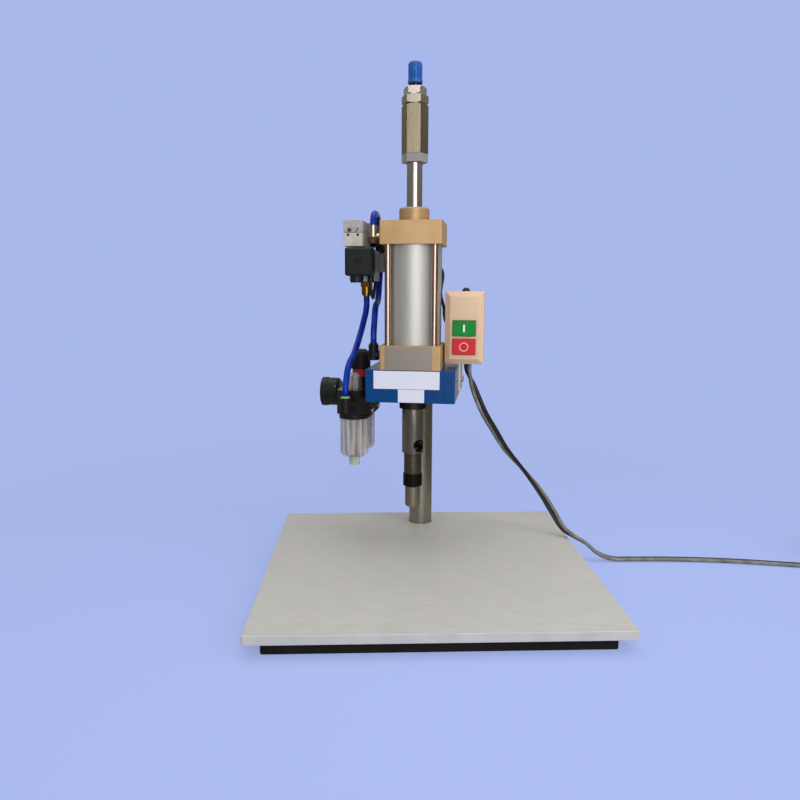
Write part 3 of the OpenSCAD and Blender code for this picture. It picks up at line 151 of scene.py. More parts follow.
def shade_by(material, pattern, dark, light, low=0.35, high=0.65):
    """The base colour runs from dark to light with the pattern."""
    nodes, links = material.node_tree.nodes, material.node_tree.links
    ramp = nodes.new("ShaderNodeValToRGB")
    stops = ramp.color_ramp.elements
    stops[0].position = low
    stops[0].color = (*dark, 1)
    stops[1].position = high
    stops[1].color = (*light, 1)
    links.new(pattern, ramp.inputs["Fac"])
    links.new(ramp.outputs["Color"], shader_of(material).inputs["Base Color"])


def new_range(nodes, low, high, least=0.0, most=1.0):
    """A node that maps the values from low to high onto those from least to most."""
    spread = nodes.new("ShaderNodeMapRange")
    for socket, value in (("From Min", low), ("From Max", high), ("To Min", least), ("To Max", most)):
        spread.inputs[socket].default_value = value
    return spread


def gloss_by(material, pattern, smooth, rough, low=0.3, high=0.7):
    """The roughness runs from smooth to rough with the pattern."""
    links = material.node_tree.links
    spread = new_range(material.node_tree.nodes, low, high, smooth, rough)
    links.new(pattern, spread.inputs["Value"])
    links.new(spread.outputs["Result"], shader_of(material).inputs["Roughness"])


def bump_by(material, pattern, depth):
    """The surface rises and falls with the pattern, on top of a bump that is there already."""
    nodes, links = material.node_tree.nodes, material.node_tree.links
    normal = shader_of(material).inputs["Normal"]
    bump = nodes.new("ShaderNodeBump")
    bump.inputs["Distance"].default_value = depth
    bump.inputs["Strength"].default_value = 1.0
    if normal.links:
        links.new(normal.links[0].from_socket, bump.inputs["Normal"])
    links.new(pattern, bump.inputs["Height"])
    links.new(bump.outputs["Normal"], normal)


MM = 0.001


def leg(start, *steps):
    """Points of a route in mm from the start of a leg, each with a twist where one is given."""
    return [tuple(s + d * MM for s, d in zip(start, step)) + step[3:] for step in steps]


core_radius = 2.6 * MM
lead_exit = Vector((67.5, 21, 262.4)) * MM
lead_y = 13 * MM
box_bottom = 264.5 * MM
board_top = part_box("cutting_board")[1].z
on_board = board_top + 4.3 * MM
on_floor = 3.0 * MM
in_coil = 4.5 * MM
coil_centre = Vector((585, 100)) * MM
coil_radius = 44 * MM
coil_turns = 4
rings_per_turn = 24
turn_rise = 8.9 * MM
coil_twist = 495
coil_front = coil_centre.y - coil_radius
plug_height = 10.1 * MM
exit_x = lead_exit.x
lead_run = leg(lead_exit, (0, 0, 0, 20))
lead_run += leg((exit_x, lead_exit.y, box_bottom), (0, 0, -7, 30), (2.4, 0, -17, 70))
lead_run += leg(
    (exit_x, lead_y, box_bottom),
    (7, 8.5, -30, 130), (13.5, 10, -47, 170), (22, 12, -66, 185), (36, 26, -92, 190),
    (52, 40, -120, 215), (76, 52, -150, 260), (102, 58, -184, 310), (119, 55, -210, 350),
)
lead_run += leg((exit_x, lead_y, on_board), (132, 46, 7, 395), (144, 36, 1, 435), (160, 28, -6, 448))
lead_run += leg(
    (exit_x, lead_y, on_floor),
    (176, 26, 8, 450), (194, 28, 1, 450), (220, 32, 0, 450), (260, 38, 0, 450),
    (310, 43, 0, 450), (360, 45, 0, 450), (410, 44, 0, 450),
)
lead_run += leg((coil_centre.x, coil_front, on_floor), (-65, 0, 0, 455), (-25, 0, 1, 470))
lead_run += leg((coil_centre.x, coil_front, in_coil), (0, 0, 0, coil_twist))
for i in range(1, coil_turns * rings_per_turn + 1):
    turn = -pi / 2 + i * 2 * pi / rings_per_turn
    lead_run.append((
        coil_centre.x + coil_radius * cos(turn),
        coil_centre.y + coil_radius * sin(turn),
        in_coil + turn_rise * i / rings_per_turn,
        coil_twist,
    ))
coil_top = in_coil + turn_rise * coil_turns
lead_run += leg(
    (coil_centre.x, coil_front, coil_top),
    (18, 0, 1, coil_twist), (40, -3, -3, 485), (62, -8, -15, 470), (82, -14, -23, 460),
)
lead_run += leg((coil_centre.x, coil_front, plug_height), (98, -18, 0, 450), (110, -21, 0, 450))
lead_points = [Vector(p[:3]) for p in lead_run]
lead_line = smooth_line("lead_line", lead_points, [radians(p[3]) for p in lead_run])
lead_path = [v.co.copy() for v in meshed(lead_line).vertices]

core_pair = bpy.data.curves.new("core_pair", "CURVE")
core_pair.dimensions = "2D"
core_knots = 10
core_offset = 0.98 * core_radius
knot_radius = 1.045 * core_radius
for side in (-1, 1):
    core = core_pair.splines.new("NURBS")
    core.points.add(core_knots - 1)
    core.use_cyclic_u = True
    core.order_u = 4
    for i, knot in enumerate(core.points):
        a = i * 2 * pi / core_knots
        knot.co = (side * core_offset + knot_radius * cos(a), knot_radius * sin(a), 0, 1)
core_section = placed("core_section", core_pair)
lead_line.data.bevel_mode = "OBJECT"
lead_line.data.bevel_object = core_section
lead_line.data.use_fill_caps = True
mains_flex = placed("mains_flex", meshed(lead_line))
for helper in (lead_line, core_section):
    bpy.data.objects.remove(helper)

black_sleeve = new_finish("black_lead_sleeve", tint(22, 22, 24), 0.42)
# The grey core's colour is partly a painted highlight along the twisting flex.
grey_sleeve_painted_highlight = new_finish("grey_lead_painted_highlight", tint(104, 106, 100), 0.36)
shade_by(grey_sleeve_painted_highlight, grain(grey_sleeve_painted_highlight, 60), tint(84, 86, 80), tint(122, 124, 116))
mains_flex.data.materials.clear()
for sleeve in (black_sleeve, grey_sleeve_painted_highlight):
    gloss_by(sleeve, grain(sleeve, 350), 0.34, 0.52)
    bump_by(sleeve, grain(sleeve, 1800), 0.00008)
    mains_flex.data.materials.append(sleeve)
first_core = len(mains_flex.data.polygons) // 2
for face in mains_flex.data.polygons:
    face.use_smooth = len(face.vertices) == 4
    face.material_index = int(face.index >= first_core)
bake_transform(mains_flex)
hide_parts("mains_lead", "lead_coil")


# Plug: a moulded two-pin plug on the end of the lead, with flat nickel pins.
# The body is cast round the pins in one piece, so only its edges are round.
def body_of(node):
    """The name of the moving body that a CAD node belongs to."""
    bodies = frame["record"]["behaviour"]["bodies"]
    return next(name for name, nodes in bodies.items() if node in nodes)


def clean_copy(node):
    """A CAD node's mesh with its loose triangles merged and its flat faces made whole."""
    form = bmesh.new()
    form.from_mesh(frame["nodes"][node].data)
    bmesh.ops.remove_doubles(form, verts=form.verts, dist=2e-6)
    bmesh.ops.dissolve_limit(form, angle_limit=radians(0.6), verts=form.verts, edges=form.edges)
    return form


def level_normals(mesh, smooth_under):
    """Corner normals weighed by face area, which keep flat faces flat beside rounded edges."""
    least = cos(radians(smooth_under))
    faces = [(face.normal.copy(), face.area, list(face.vertices)) for face in mesh.polygons]
    around = [[] for _ in mesh.vertices]
    for normal, area, corners in faces:
        for corner in corners:
            around[corner].append((normal, area))
    normals = []
    for normal, area, corners in faces:
        for corner in corners:
            parts = [other * size for other, size in around[corner] if other.dot(normal) > least]
            normals.append(sum(parts, Vector()).normalized() if parts else normal)
    mesh.normals_split_custom_set(normals)


def show(name, form, materials, body, smooth_under=32):
    """A new piece from a bmesh, shaded smooth across edges that turn less than an angle."""
    mesh = bpy.data.meshes.new(name)
    form.normal_update()
    form.to_mesh(mesh)
    form.free()
    for material in materials if isinstance(materials, (list, tuple)) else [materials]:
        mesh.materials.append(material)
    mesh.shade_smooth()
    mesh.set_sharp_from_angle(angle=radians(smooth_under))
    level_normals(mesh, smooth_under)
    piece = placed(name, mesh)
    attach(piece, body)
    return piece


def round_edges(form, radius, steps=2, over=35):
    """Rounds the edges that turn more than an angle."""
    sharp = [e for e in form.edges if len(e.link_faces) == 2 and e.calc_face_angle(0) > radians(over)]
    bmesh.ops.bevel(
        form, geom=sharp, offset=radius, offset_type="OFFSET", segments=steps, profile=0.5,
        affect="EDGES", clamp_overlap=True, material=-1, loop_slide=True,
    )


def rounded(node, radius, materials, name=None, steps=2):
    """A piece that stands for a CAD node, with the node's shape and small rounds on its edges."""
    form = clean_copy(node)
    round_edges(form, radius, steps)
    piece = show(name or node + "_finished", form, materials, body_of(node))
    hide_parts(node)
    return piece


plug_body = new_finish("plug_moulding", tint(24, 24, 26), 0.48)
gloss_by(plug_body, grain(plug_body, 300), 0.4, 0.56)
bump_by(plug_body, grain(plug_body, 2500), 0.00006)
pin_plate = new_finish("plug_pin_nickel", tint(205, 203, 196), 0.25, 1.0)
gloss_by(pin_plate, grain(pin_plate, 900), 0.18, 0.34)
mains_plug = rounded("mains_plug", 0.0009, [plug_body, pin_plate], "mains_plug_moulded")
plug_end = lead_points[-1]
plug_axis = (plug_end - lead_points[-2]).normalized()
pins_from = 0.0502
for face in mains_plug.data.polygons:
    face.material_index = int((face.center - plug_end).dot(plug_axis) > pins_from)

# Tie: a strap of black hook tape round the coiled lead.
# It is cut from woven tape, so its face has a fine cross weave.
tie_tape = new_finish("coil_tie_tape", tint(30, 30, 33), 0.85)
bump_by(tie_tape, grain(tie_tape, 900, (1, 1, 3)), 0.0003)
shade_by(tie_tape, grain(tie_tape, 700), tint(22, 22, 24), tint(44, 44, 47))
coil_tie = rounded("coil_tie", 0.0006, tie_tape, "coil_tie_strap")


# Air hoses: blue polyurethane tube, 8 mm outside, pushed into its fittings by hand.
# One loops from the valve to the upper cap, one drops to the lower cap, one comes from the air unit.
def round_cord(name, points, radius, fineness, material, node):
    """A round cord along the points, which rides on the head and stands for a CAD node."""
    line = smooth_line(name, points)
    line.data.bevel_depth = radius
    line.data.bevel_resolution = fineness
    line.data.use_fill_caps = True
    line.data.materials.append(material)
    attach(line, "head")
    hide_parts(node)
    return line


hose_blue = new_finish("blue_hose", tint(6, 42, 142), 0.24)
shade_by(hose_blue, grain(hose_blue, 45), tint(3, 30, 120), tint(9, 54, 160))
gloss_by(hose_blue, grain(hose_blue, 200), 0.14, 0.3)
set_values(hose_blue, {"Subsurface Weight": 0.06, "Subsurface Radius": (0.1, 0.3, 1.0)})
set_values(hose_blue, {"Subsurface Scale": 0.002, "Specular IOR Level": 0.2})
hose_radius = 4 * MM
cap_elbow_x, valve_elbow_x = -51.0 * MM, -52.5 * MM
upper_socket, valve_socket = 434 * MM, 432 * MM
arch_radius, port_a = 16.5 * MM, 42 * MM
push_in = 10 * MM
loop_points = [(cap_elbow_x, 0, upper_socket - push_in), (cap_elbow_x, 0, upper_socket)]
for a in range(165, 14, -15):
    part = (180 - a) / 180
    loop_points.append((
        cap_elbow_x + (valve_elbow_x - cap_elbow_x) * part,
        (port_a - arch_radius if a < 90 else arch_radius) + arch_radius * cos(radians(a)),
        upper_socket + (valve_socket - upper_socket) * part + arch_radius * sin(radians(a)),
    ))
loop_points += [(valve_elbow_x, port_a, valve_socket), (valve_elbow_x, port_a, valve_socket - push_in)]
port_b, valve_port, lower_port = 60 * MM, 417 * MM, 273.75 * MM
drop_points = leg(
    (valve_elbow_x, port_b, valve_port),
    (0, 0, -5), (0, 0, -15), (0, -1, -34), (0, -8, -54), (0.5, -22, -76),
)
drop_points += leg(
    (cap_elbow_x, 0, lower_port), (-0.5, 18, 60), (0, 5, 40), (0, 0, 26), (0, 0, 15), (0, 0, 5),
)
port_x, port_y, valve_foot = -69.5 * MM, 51 * MM, 367 * MM
outlet_x, outlet_y, outlet_z = -81.75 * MM, -28.5 * MM, 209 * MM
supply_points = leg(
    (port_x, port_y, valve_foot),
    (0, 0, -10), (0, 0, -20), (0, -2, -36), (-2.5, -10, -54), (-5.5, -24, -74), (-8.5, -43, -93),
)
supply_points += leg(
    (outlet_x, outlet_y, outlet_z), (1, 16.5, 52), (0, 4.5, 34), (0, 0, 22), (0, 0, 15), (0, 0, 5),
)
hoses = (
    ("hose_a", "upper_cap_hose", loop_points, 0.081),
    ("hose_b", "lower_cap_hose", drop_points, 0.157),
    ("hose_p", "supply_hose", supply_points, 0.173),
)
for node, name, points, length in hoses:
    hose = round_cord(name, points, hose_radius, 6, hose_blue, node)

# Solenoid lead: a thin round black cable from the switch box to the valve's connector.
# It goes round behind the coil and the cylinder, and hangs in a slack bow behind the box.
wire_sheath = new_finish("solenoid_lead_sheath", tint(20, 20, 22), 0.45)
gloss_by(wire_sheath, grain(wire_sheath, 400), 0.38, 0.55)
bump_by(wire_sheath, grain(wire_sheath, 2200), 0.00006)
wire_x, wire_y, wire_z = -52.5 * MM, -10 * MM, 364 * MM
gland_x, gland_y, wire_in = 63.5 * MM, 26 * MM, 356.3 * MM
wire_points = leg(
    (wire_x, wire_y, wire_z),
    (0, 0, 6), (0, 0, 0), (0.2, 1, -9), (0.6, 6, -16), (0, 14, -18.5), (-1.2, 25, -18),
    (-2.7, 36, -15), (-3.5, 45, -8.5), (-3.2, 51, 1), (-1.5, 54.5, 11), (2, 56.5, 19), (9, 58.5, 23.5),
)
wire_points += leg(
    (0, 0, wire_z),
    (-33, 50.5, 25), (-18, 52, 25), (0, 52.5, 25), (14, 52, 24.5), (25, 51, 22), (31, 50, 15.5),
    (31.8, 49.5, 6.5), (30, 49.5, -5), (29.4, 49.5, -13), (31.5, 49.7, -23), (33.8, 50, -32),
    (34.4, 50.2, -41.5), (37, 51, -51), (43.5, 52, -57.5), (52.5, 53, -58), (60, 54, -52),
)
wire_points += leg((gland_x, gland_y, wire_z), (0, 28.5, -42), (0, 28.3, -30), (0, 26, -19))
wire_points += leg((gland_x, gland_y, wire_in), (0, 20.5, -2.8), (0, 13, 0), (0, 5.5, 0), (0, 0, 0))
wire_radius = 2 * MM
solenoid_wire = round_cord(
    "solenoid_wire", wire_points, wire_radius, 5, wire_sheath, "solenoid_lead",
)


# Base plate: a flat-rolled steel plate under the board, painted dark.
# The paint is brushed on, so it is dull and a little uneven.
def cast_paint(name, colour, smooth, rough, per_metre=700, depth=0.00006, cloud=25, spread=0.12, gleam=0.35):
    """A paint or plastic: its tone drifts slowly, and a fine grain changes its gloss and level."""
    material = new_finish(name, colour, (smooth + rough) / 2)
    set_values(material, {"Specular IOR Level": gleam})
    dark, light = [c * (1 - spread) for c in colour], [min(1, c * (1 + spread)) for c in colour]
    shade_by(material, grain(material, cloud), dark, light)
    fine = grain(material, per_metre)
    gloss_by(material, fine, smooth, rough)
    bump_by(material, fine, depth)
    return material


base_paint = cast_paint("base_plate_paint", tint(20, 18, 18), 0.5, 0.68, 450, 0.00012, gleam=0.2)
rounded("base_plate", 0.0012, base_paint, steps=3)

# Cutting board: a sawn sheet of white polyethylene that the punch works against.
# Its sawn edges are broken, and the face carries faint knife marks and a slight waxy glow.
board_plastic = new_finish("board_polyethylene", tint(181, 180, 175), 0.45)
scuffs = grain(board_plastic, 60, (1, 3, 1), detail=10)
shade_by(board_plastic, scuffs, tint(176, 175, 170), tint(184, 183, 178))
gloss_by(board_plastic, scuffs, 0.36, 0.58)
bump_by(board_plastic, grain(board_plastic, 1200), 0.00005)
bump_by(board_plastic, scuffs, 0.00005)
set_values(board_plastic, {"Subsurface Weight": 0.12, "Subsurface Scale": 0.004})
rounded("cutting_board", 0.0011, board_plastic, steps=3)


# Column: a drawn and ground steel bar that stands on the plate and carries the head.
# It is bare metal with lengthwise drawing marks, bolted on from below.
def metal(
    name, colour, smooth, rough, per_metre=300, stretch=(1, 1, 1), depth=0.00001, dim=0.86, metallic=1.0,
):
    """A bare metal whose polish follows a grain, which can be stretched along the tool marks."""
    material = new_finish(name, colour, (smooth + rough) / 2, metallic)
    marks = grain(material, per_metre, stretch, detail=6)
    shade_by(material, marks, [c * dim for c in colour], colour)
    gloss_by(material, marks, smooth, rough)
    bump_by(material, marks, depth)
    return material


def paint(node, material):
    """Gives a hidden CAD node's own mesh a material."""
    frame["nodes"][node].data.materials.clear()
    frame["nodes"][node].data.materials.append(material)


ALONG = (1, 1, 0.04)
ROUND = (0.04, 0.04, 1)
drawn_steel = metal("drawn_bar", tint(160, 155, 145), 0.22, 0.36, 900, ALONG)
rounded("column", 0.0012, drawn_steel)
bolt_zinc = metal("bolt_zinc", tint(176, 174, 166), 0.28, 0.45, 600)
paint("column_bolt", bolt_zinc)

# Head block: a milled casting that clamps the column at its slit and carries everything above.
# It is sprayed blue, with the slight orange peel and gloss of a two-part paint.
block_paint = cast_paint(
    "block_blue_paint", tint(4, 60, 112), 0.2, 0.3, 380, 0.00007, cloud=18, spread=0.1, gleam=0.2,
)
rounded("head_block", 0.0011, block_paint, steps=3)


# Labels: two blank paper stickers on the block's front, and a bare brushed plate on the lower cap.
# The stickers are gloss-coated paper, and the plate is thin aluminium fixed with adhesive.
def thicken(form, offset):
    """Extrudes flat faces by an offset into closed slabs."""
    raised = bmesh.ops.extrude_face_region(form, geom=form.faces[:])["geom"]
    corners = [v for v in raised if isinstance(v, bmesh.types.BMVert)]
    bmesh.ops.translate(form, verts=corners, vec=offset)
    bmesh.ops.recalc_face_normals(form, faces=form.faces)


def front_plate(name, x_span, z_span, face_y, thick, corner, material):
    """A thin plate with round corners on a face of the head that is turned to the front."""
    form = bmesh.new()
    rim = []
    corner_steps = 4
    turns = ((1, 1, 0), (0, 1, 90), (0, 0, 180), (1, 0, 270))
    for right, up, start in turns:
        x = x_span[right] - corner if right else x_span[right] + corner
        z = z_span[up] - corner if up else z_span[up] + corner
        for i in range(corner_steps + 1):
            a = radians(start + i * 90 / corner_steps)
            rim.append(form.verts.new((x + corner * cos(a), face_y, z + corner * sin(a))))
    form.faces.new(rim)
    thicken(form, (0, -thick, 0))
    show(name, form, material, "head")


label_paper = cast_paint("label_paper", tint(206, 208, 215), 0.28, 0.34, 500, 0.00001, cloud=40, spread=0.02)
block_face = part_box("head_block")[0].y
paper_thick, paper_corner = 0.15 * MM, 0.6 * MM
label_x, label_z = (-44.3 * MM, 36.4 * MM), (236 * MM, 258 * MM)
square_x, square_z = (-14.2 * MM, 18.0 * MM), (219.6 * MM, 235.6 * MM)
for name, x_span, z_span in (("front_label", label_x, label_z), ("square_label", square_x, square_z)):
    front_plate(name, x_span, z_span, block_face, paper_thick, paper_corner, label_paper)
plate_metal = metal("brushed_plate", tint(156, 151, 146), 0.42, 0.54, 1500, (0.02, 1, 1), 0.000004, dim=0.95)
cap_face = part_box("lower_cap")[0].y
plate_thick, plate_corner = 0.5 * MM, 1.2 * MM
plate_x, plate_z = (-30.8 * MM, 27.2 * MM), (260.4 * MM, 287.6 * MM)
front_plate(
    "bare_plate", plate_x, plate_z, cap_face, plate_thick, plate_corner, plate_metal,
)

# Screws of the block: black socket-head screws that clamp the column and hold the cylinder.
# They are hardened steel with a black oxide skin.
black_oxide = metal("black_oxide", tint(44, 43, 44), 0.34, 0.5, 900)
rounded("m8_screws", 0.0003, black_oxide)

# Ram guide: a dark ring pressed in under the block, in which the ram runs.
# It is turned from phosphated steel.
phosphate = metal("phosphated_steel", tint(58, 56, 58), 0.36, 0.52, 900, ROUND)
rounded("ram_guide", 0.0006, phosphate)

# Cylinder caps: two square plates milled from bar, blasted and anodised in a matt gold.
# Only their edges are broken, and the colour is even.
gold_skin = new_finish("gold_anodised", tint(186, 152, 106), 0.48, 0.5)
shade_by(gold_skin, grain(gold_skin, 30), tint(180, 147, 102), tint(192, 158, 112))
gloss_by(gold_skin, grain(gold_skin, 1500), 0.4, 0.54)
bump_by(gold_skin, grain(gold_skin, 2600), 0.00004)
rounded("lower_cap", 0.0005, gold_skin)
rounded("upper_cap", 0.0005, gold_skin)

# Barrel: a drawn aluminium tube between the caps, 63 mm in the bore.
# It is brushed lengthwise and clear anodised, so it shows a broad soft highlight.
tube_skin = metal(
    "barrel_aluminium", tint(192, 193, 187), 0.44, 0.54, 1000, ALONG, 0.000003, dim=0.95, metallic=0.7,
)
rounded("barrel", 0.0003, tube_skin)

# Tie rods and nuts: four chromed rods that pull the caps together, with a nut on each.
# The nuts sit on the lower side of the lower cap's corners.
rod_plating = metal("tie_rod_plating", tint(192, 170, 160), 0.24, 0.32, 500, ALONG, 0.000002, dim=0.95)
rounded("tie_rods", 0.0005, rod_plating)
rounded("tie_nuts", 0.0003, bolt_zinc)

# Upper gland: a turned collar in the upper cap that guides the rod and holds its seal.
# It has the same gold skin as the caps, with fine turning marks.
turned_gold = new_finish("gold_turned", tint(178, 144, 102), 0.44, 0.4)
shade_by(turned_gold, grain(turned_gold, 900, ROUND), tint(170, 137, 96), tint(184, 150, 108))
gloss_by(turned_gold, grain(turned_gold, 900, ROUND), 0.38, 0.5)
bump_by(turned_gold, grain(turned_gold, 1500, ROUND), 0.00003)
rounded("upper_gland", 0.0003, turned_gold)

# Seals and piston: black rubber rings and an aluminium piston inside the closed cylinder.
# Nothing of them shows, apart from the lip at the upper gland.
rubber = cast_paint("black_rubber", tint(26, 26, 27), 0.6, 0.75, 900)
for node in ("seals", "piston_seals"):
    paint(node, rubber)
paint("piston", tube_skin)

# Ram: a ground steel rod with a window in its side, where the punched slugs fall out.
# It carries the holder below and runs in the guide.
ram_steel = metal("ground_ram", tint(158, 156, 154), 0.18, 0.3, 900, ALONG)
rounded("ram", 0.0004, ram_steel)

# Punch holder, collar and punch: the holder is screwed into the ram, the black collar locks
# the hollow punch in it, and the punch itself is turned and hardened to a straw tone.
holder_steel = metal("holder_steel", tint(112, 106, 96), 0.24, 0.4, 900, ROUND)
rounded("punch_holder", 0.0004, holder_steel)
collar_black = metal("collar_black_oxide", tint(40, 38, 38), 0.32, 0.48, 1200, ROUND)
rounded("punch_collar", 0.0003, collar_black)
punch_steel = metal("punch_steel", tint(150, 142, 124), 0.32, 0.46, 1200, ROUND, 0.000004, dim=0.9)
rounded("punch", 0.0001, punch_steel)

# Upper rod: the chromed half of the through rod, with a screw thread at its free end.
# The thread is cut as one helix, and only a short neck of it shows under the knob.
rod_form = clean_copy("upper_rod")
thread_radius, thread_depth, thread_pitch = 7.9 * MM, 0.92 * MM, 1.5 * MM
thread_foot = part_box("stroke_sleeve")[1].z
plain_end, row_height = 1.0 * MM, 0.25 * MM
thread_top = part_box("upper_rod")[1].z - plain_end
core_from, wall_slack = thread_foot - 60 * MM, 0.3 * MM
for vert in rod_form.verts:
    away = hypot(vert.co.x, vert.co.y)
    if vert.co.z > core_from and abs(away - thread_radius) < wall_slack:
        vert.co.x *= (thread_radius - thread_depth) / away
        vert.co.y *= (thread_radius - thread_depth) / away
rod_chrome = metal("rod_chrome", tint(208, 201, 197), 0.2, 0.27, 500, ALONG, 0.000002, dim=0.95)
rod_shape = show("chromed_rod", rod_form, rod_chrome, "ram")
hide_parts("upper_rod")
helix = bmesh.new()
columns, rows = 64, int((thread_top - thread_foot) / row_height)
grid = []
for i in range(rows + 1):
    height = thread_foot + (thread_top - thread_foot) * i / rows
    ring = []
    for j in range(columns):
        phase = (height / thread_pitch - j / columns) % 1
        radius = thread_radius - thread_depth * abs(2 * phase - 1)
        a = j * 2 * pi / columns
        ring.append(helix.verts.new((radius * cos(a), radius * sin(a), height)))
    grid.append(ring)
for low, high in zip(grid, grid[1:]):
    for j in range(columns):
        k = (j + 1) % columns
        helix.faces.new((low[j], low[k], high[k], high[j]))
helix.faces.new(grid[-1])
helix.faces.new(list(reversed(grid[0])))
thread_steel = metal("cut_thread", tint(96, 92, 86), 0.3, 0.44, 900, ROUND)
show("rod_thread", helix, thread_steel, "ram", 60)

# Stroke sleeve and lock nut: hexagonal bar, bored and threaded, that sets the stroke.
# Both are nickel-plated steel, satin along the sleeve and bright on the nut; its turned head is brighter
# metal and painted lighter still, as a painted highlight.
satin_nickel = metal("satin_nickel", tint(162, 151, 131), 0.24, 0.32, 700, ALONG, 0.000002, dim=0.95)
head_nickel_painted_highlight = metal("head_nickel_painted_highlight", tint(186, 180, 168), 0.27, 0.31, 400, depth=0.000001, dim=0.96)
bright_nickel = metal("bright_nickel", tint(216, 212, 203), 0.25, 0.29, 400, depth=0.000001, dim=0.97)
sleeve = rounded("stroke_sleeve", 0.0004, [satin_nickel, head_nickel_painted_highlight])
head_height = 10.5 * MM
head_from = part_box("stroke_sleeve")[1].z - head_height
# The top of the sleeve takes the lighter head colour, partly a painted highlight.
for face in sleeve.data.polygons:
    face.material_index = int(face.center.z > head_from)
rounded("lock_nut", 0.0004, bright_nickel)

# Bumper: a pale hexagonal disc of hard plastic under the sleeve.
# It is cut from bar and softens the end of the stroke.
bumper_plastic = cast_paint("bumper_plastic", tint(140, 136, 127), 0.42, 0.58, 900)
rounded("bumper", 0.0006, bumper_plastic)

# Top knob: a fluted cap of blue plastic on the end of the thread.
# It is injection moulded, with a plain rim at its foot.
knob_plastic = cast_paint(
    "knob_blue_plastic", tint(14, 86, 162), 0.3, 0.42, 900, 0.00003, cloud=120, spread=0.1,
)
rounded("top_knob", 0.0003, knob_plastic)

# Valve: a die-cast body with end caps, on an angle of grey painted sheet behind the upper cap.
# The body is blasted and clear-coated, and its ports face the cylinder.
valve_casting = new_finish("valve_casting", tint(188, 188, 184), 0.45, 0.5)
shade_by(valve_casting, grain(valve_casting, 60), tint(176, 176, 172), tint(196, 196, 192))
gloss_by(valve_casting, grain(valve_casting, 1500), 0.38, 0.52)
bump_by(valve_casting, grain(valve_casting, 2200), 0.00006)
rounded("valve_body", 0.0004, valve_casting)
plate_grey = cast_paint("valve_plate_paint", tint(122, 122, 128), 0.4, 0.55, 500)
rounded("valve_plate", 0.0004, plate_grey)

# Valve pilot: the small block on the front end of the valve, in two halves screwed together.
# The upper half is cast and the lower one moulded, with a slotted override and a slotted plug.
pilot_low, pilot_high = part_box("valve_pilot")
pilot_seam = pilot_high.z - 15.6 * MM
slot_depth, slot_reach, side_wall, roof = 0.3 * MM, 8 * MM, 2 * MM, 3 * MM
pilot_plastic = cast_paint(
    "pilot_plastic", tint(190, 186, 174), 0.34, 0.48, 700, 0.00005, cloud=80, spread=0.06,
)
pilot_casting = cast_paint(
    "pilot_casting", tint(164, 161, 156), 0.3, 0.5, 700, 0.00008, cloud=320, spread=0.13,
)
# The faces deep in the slots are painted dark, as painted shade in the recesses.
slot_painted_shade = cast_paint("pilot_slot_painted_shade", tint(40, 38, 36), 0.5, 0.6, 700)
pilot_skins = [pilot_plastic, pilot_casting, slot_painted_shade]
pilot = rounded("valve_pilot", 0.0004, pilot_skins)
for face in pilot.data.polygons:
    spot = face.center
    deep = slot_depth < spot.y - pilot_low.y < slot_reach
    within = pilot_low.x + side_wall < spot.x < pilot_high.x - side_wall
    skin = pilot_casting if spot.z > pilot_seam else pilot_plastic
    if deep and within and spot.z < pilot_high.z - roof:
        skin = slot_painted_shade
    face.material_index = pilot_skins.index(skin)
override_steel = metal("override_steel", tint(112, 106, 96), 0.3, 0.44, 700)
# The override's slot faces take the same painted shade.
override = rounded("valve_override", 0.0002, [override_steel, slot_painted_shade])
override_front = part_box("valve_override")[0].y
for face in override.data.polygons:
    face.material_index = int(face.center.y > override_front + slot_depth)


def turned(name, profile, place, material, facing="up", steps=40):
    """A lathe piece on the head: radii and heights in mm, spun about an axis through a place."""
    form = bmesh.new()
    line = [form.verts.new((radius * MM, 0, height * MM)) for radius, height in profile]
    edges = [form.edges.new(pair) for pair in zip(line, line[1:])]
    bmesh.ops.spin(
        form, geom=line + edges, cent=(0, 0, 0), axis=(0, 0, 1), angle=2 * pi, steps=steps, use_merge=True,
    )
    bmesh.ops.remove_doubles(form, verts=form.verts, dist=1e-6)
    bmesh.ops.recalc_face_normals(form, faces=form.faces)
    turns = {
        "up": Matrix(),
        "front": Matrix.Rotation(pi / 2, 4, "X"),
        "left": Matrix.Rotation(-pi / 2, 4, "Y"),
    }
    form.transform(Matrix.Translation(place) @ turns[facing])
    show(name, form, material, "head")


screw_head = [(0, 0.2), (0.45, 0.2), (0.55, 1.0), (1.2, 0.8), (1.5, 0), (0, 0)]
screw_y, screw_z = pilot_low.y + 1.9 * MM, pilot_high.z - 18.2 * MM
for side, from_left in (("left", 5.5 * MM), ("right", 17.8 * MM)):
    spot = (pilot_low.x + from_left, screw_y, screw_z)
    turned("pilot_screw_" + side, screw_head, spot, black_oxide, "front", 24)

# Coil and its connector: the coil is potted in grey resin, and the black connector is plugged
# on its front, held by one centre screw.
# The resin's grey is painted lighter than it is, as painted light on the coil's shaded side.
coil_resin_painted_light = cast_paint("coil_resin_painted_light", tint(174, 175, 177), 0.38, 0.52, 900, 0.00006)
rounded("coil", 0.0012, coil_resin_painted_light, steps=3)
connector_black = cast_paint(
    "connector_black", tint(22, 27, 25), 0.36, 0.52, 900, 0.00008, cloud=60, spread=0.1, gleam=0.25,
)
rounded("din_plug", 0.0006, connector_black)

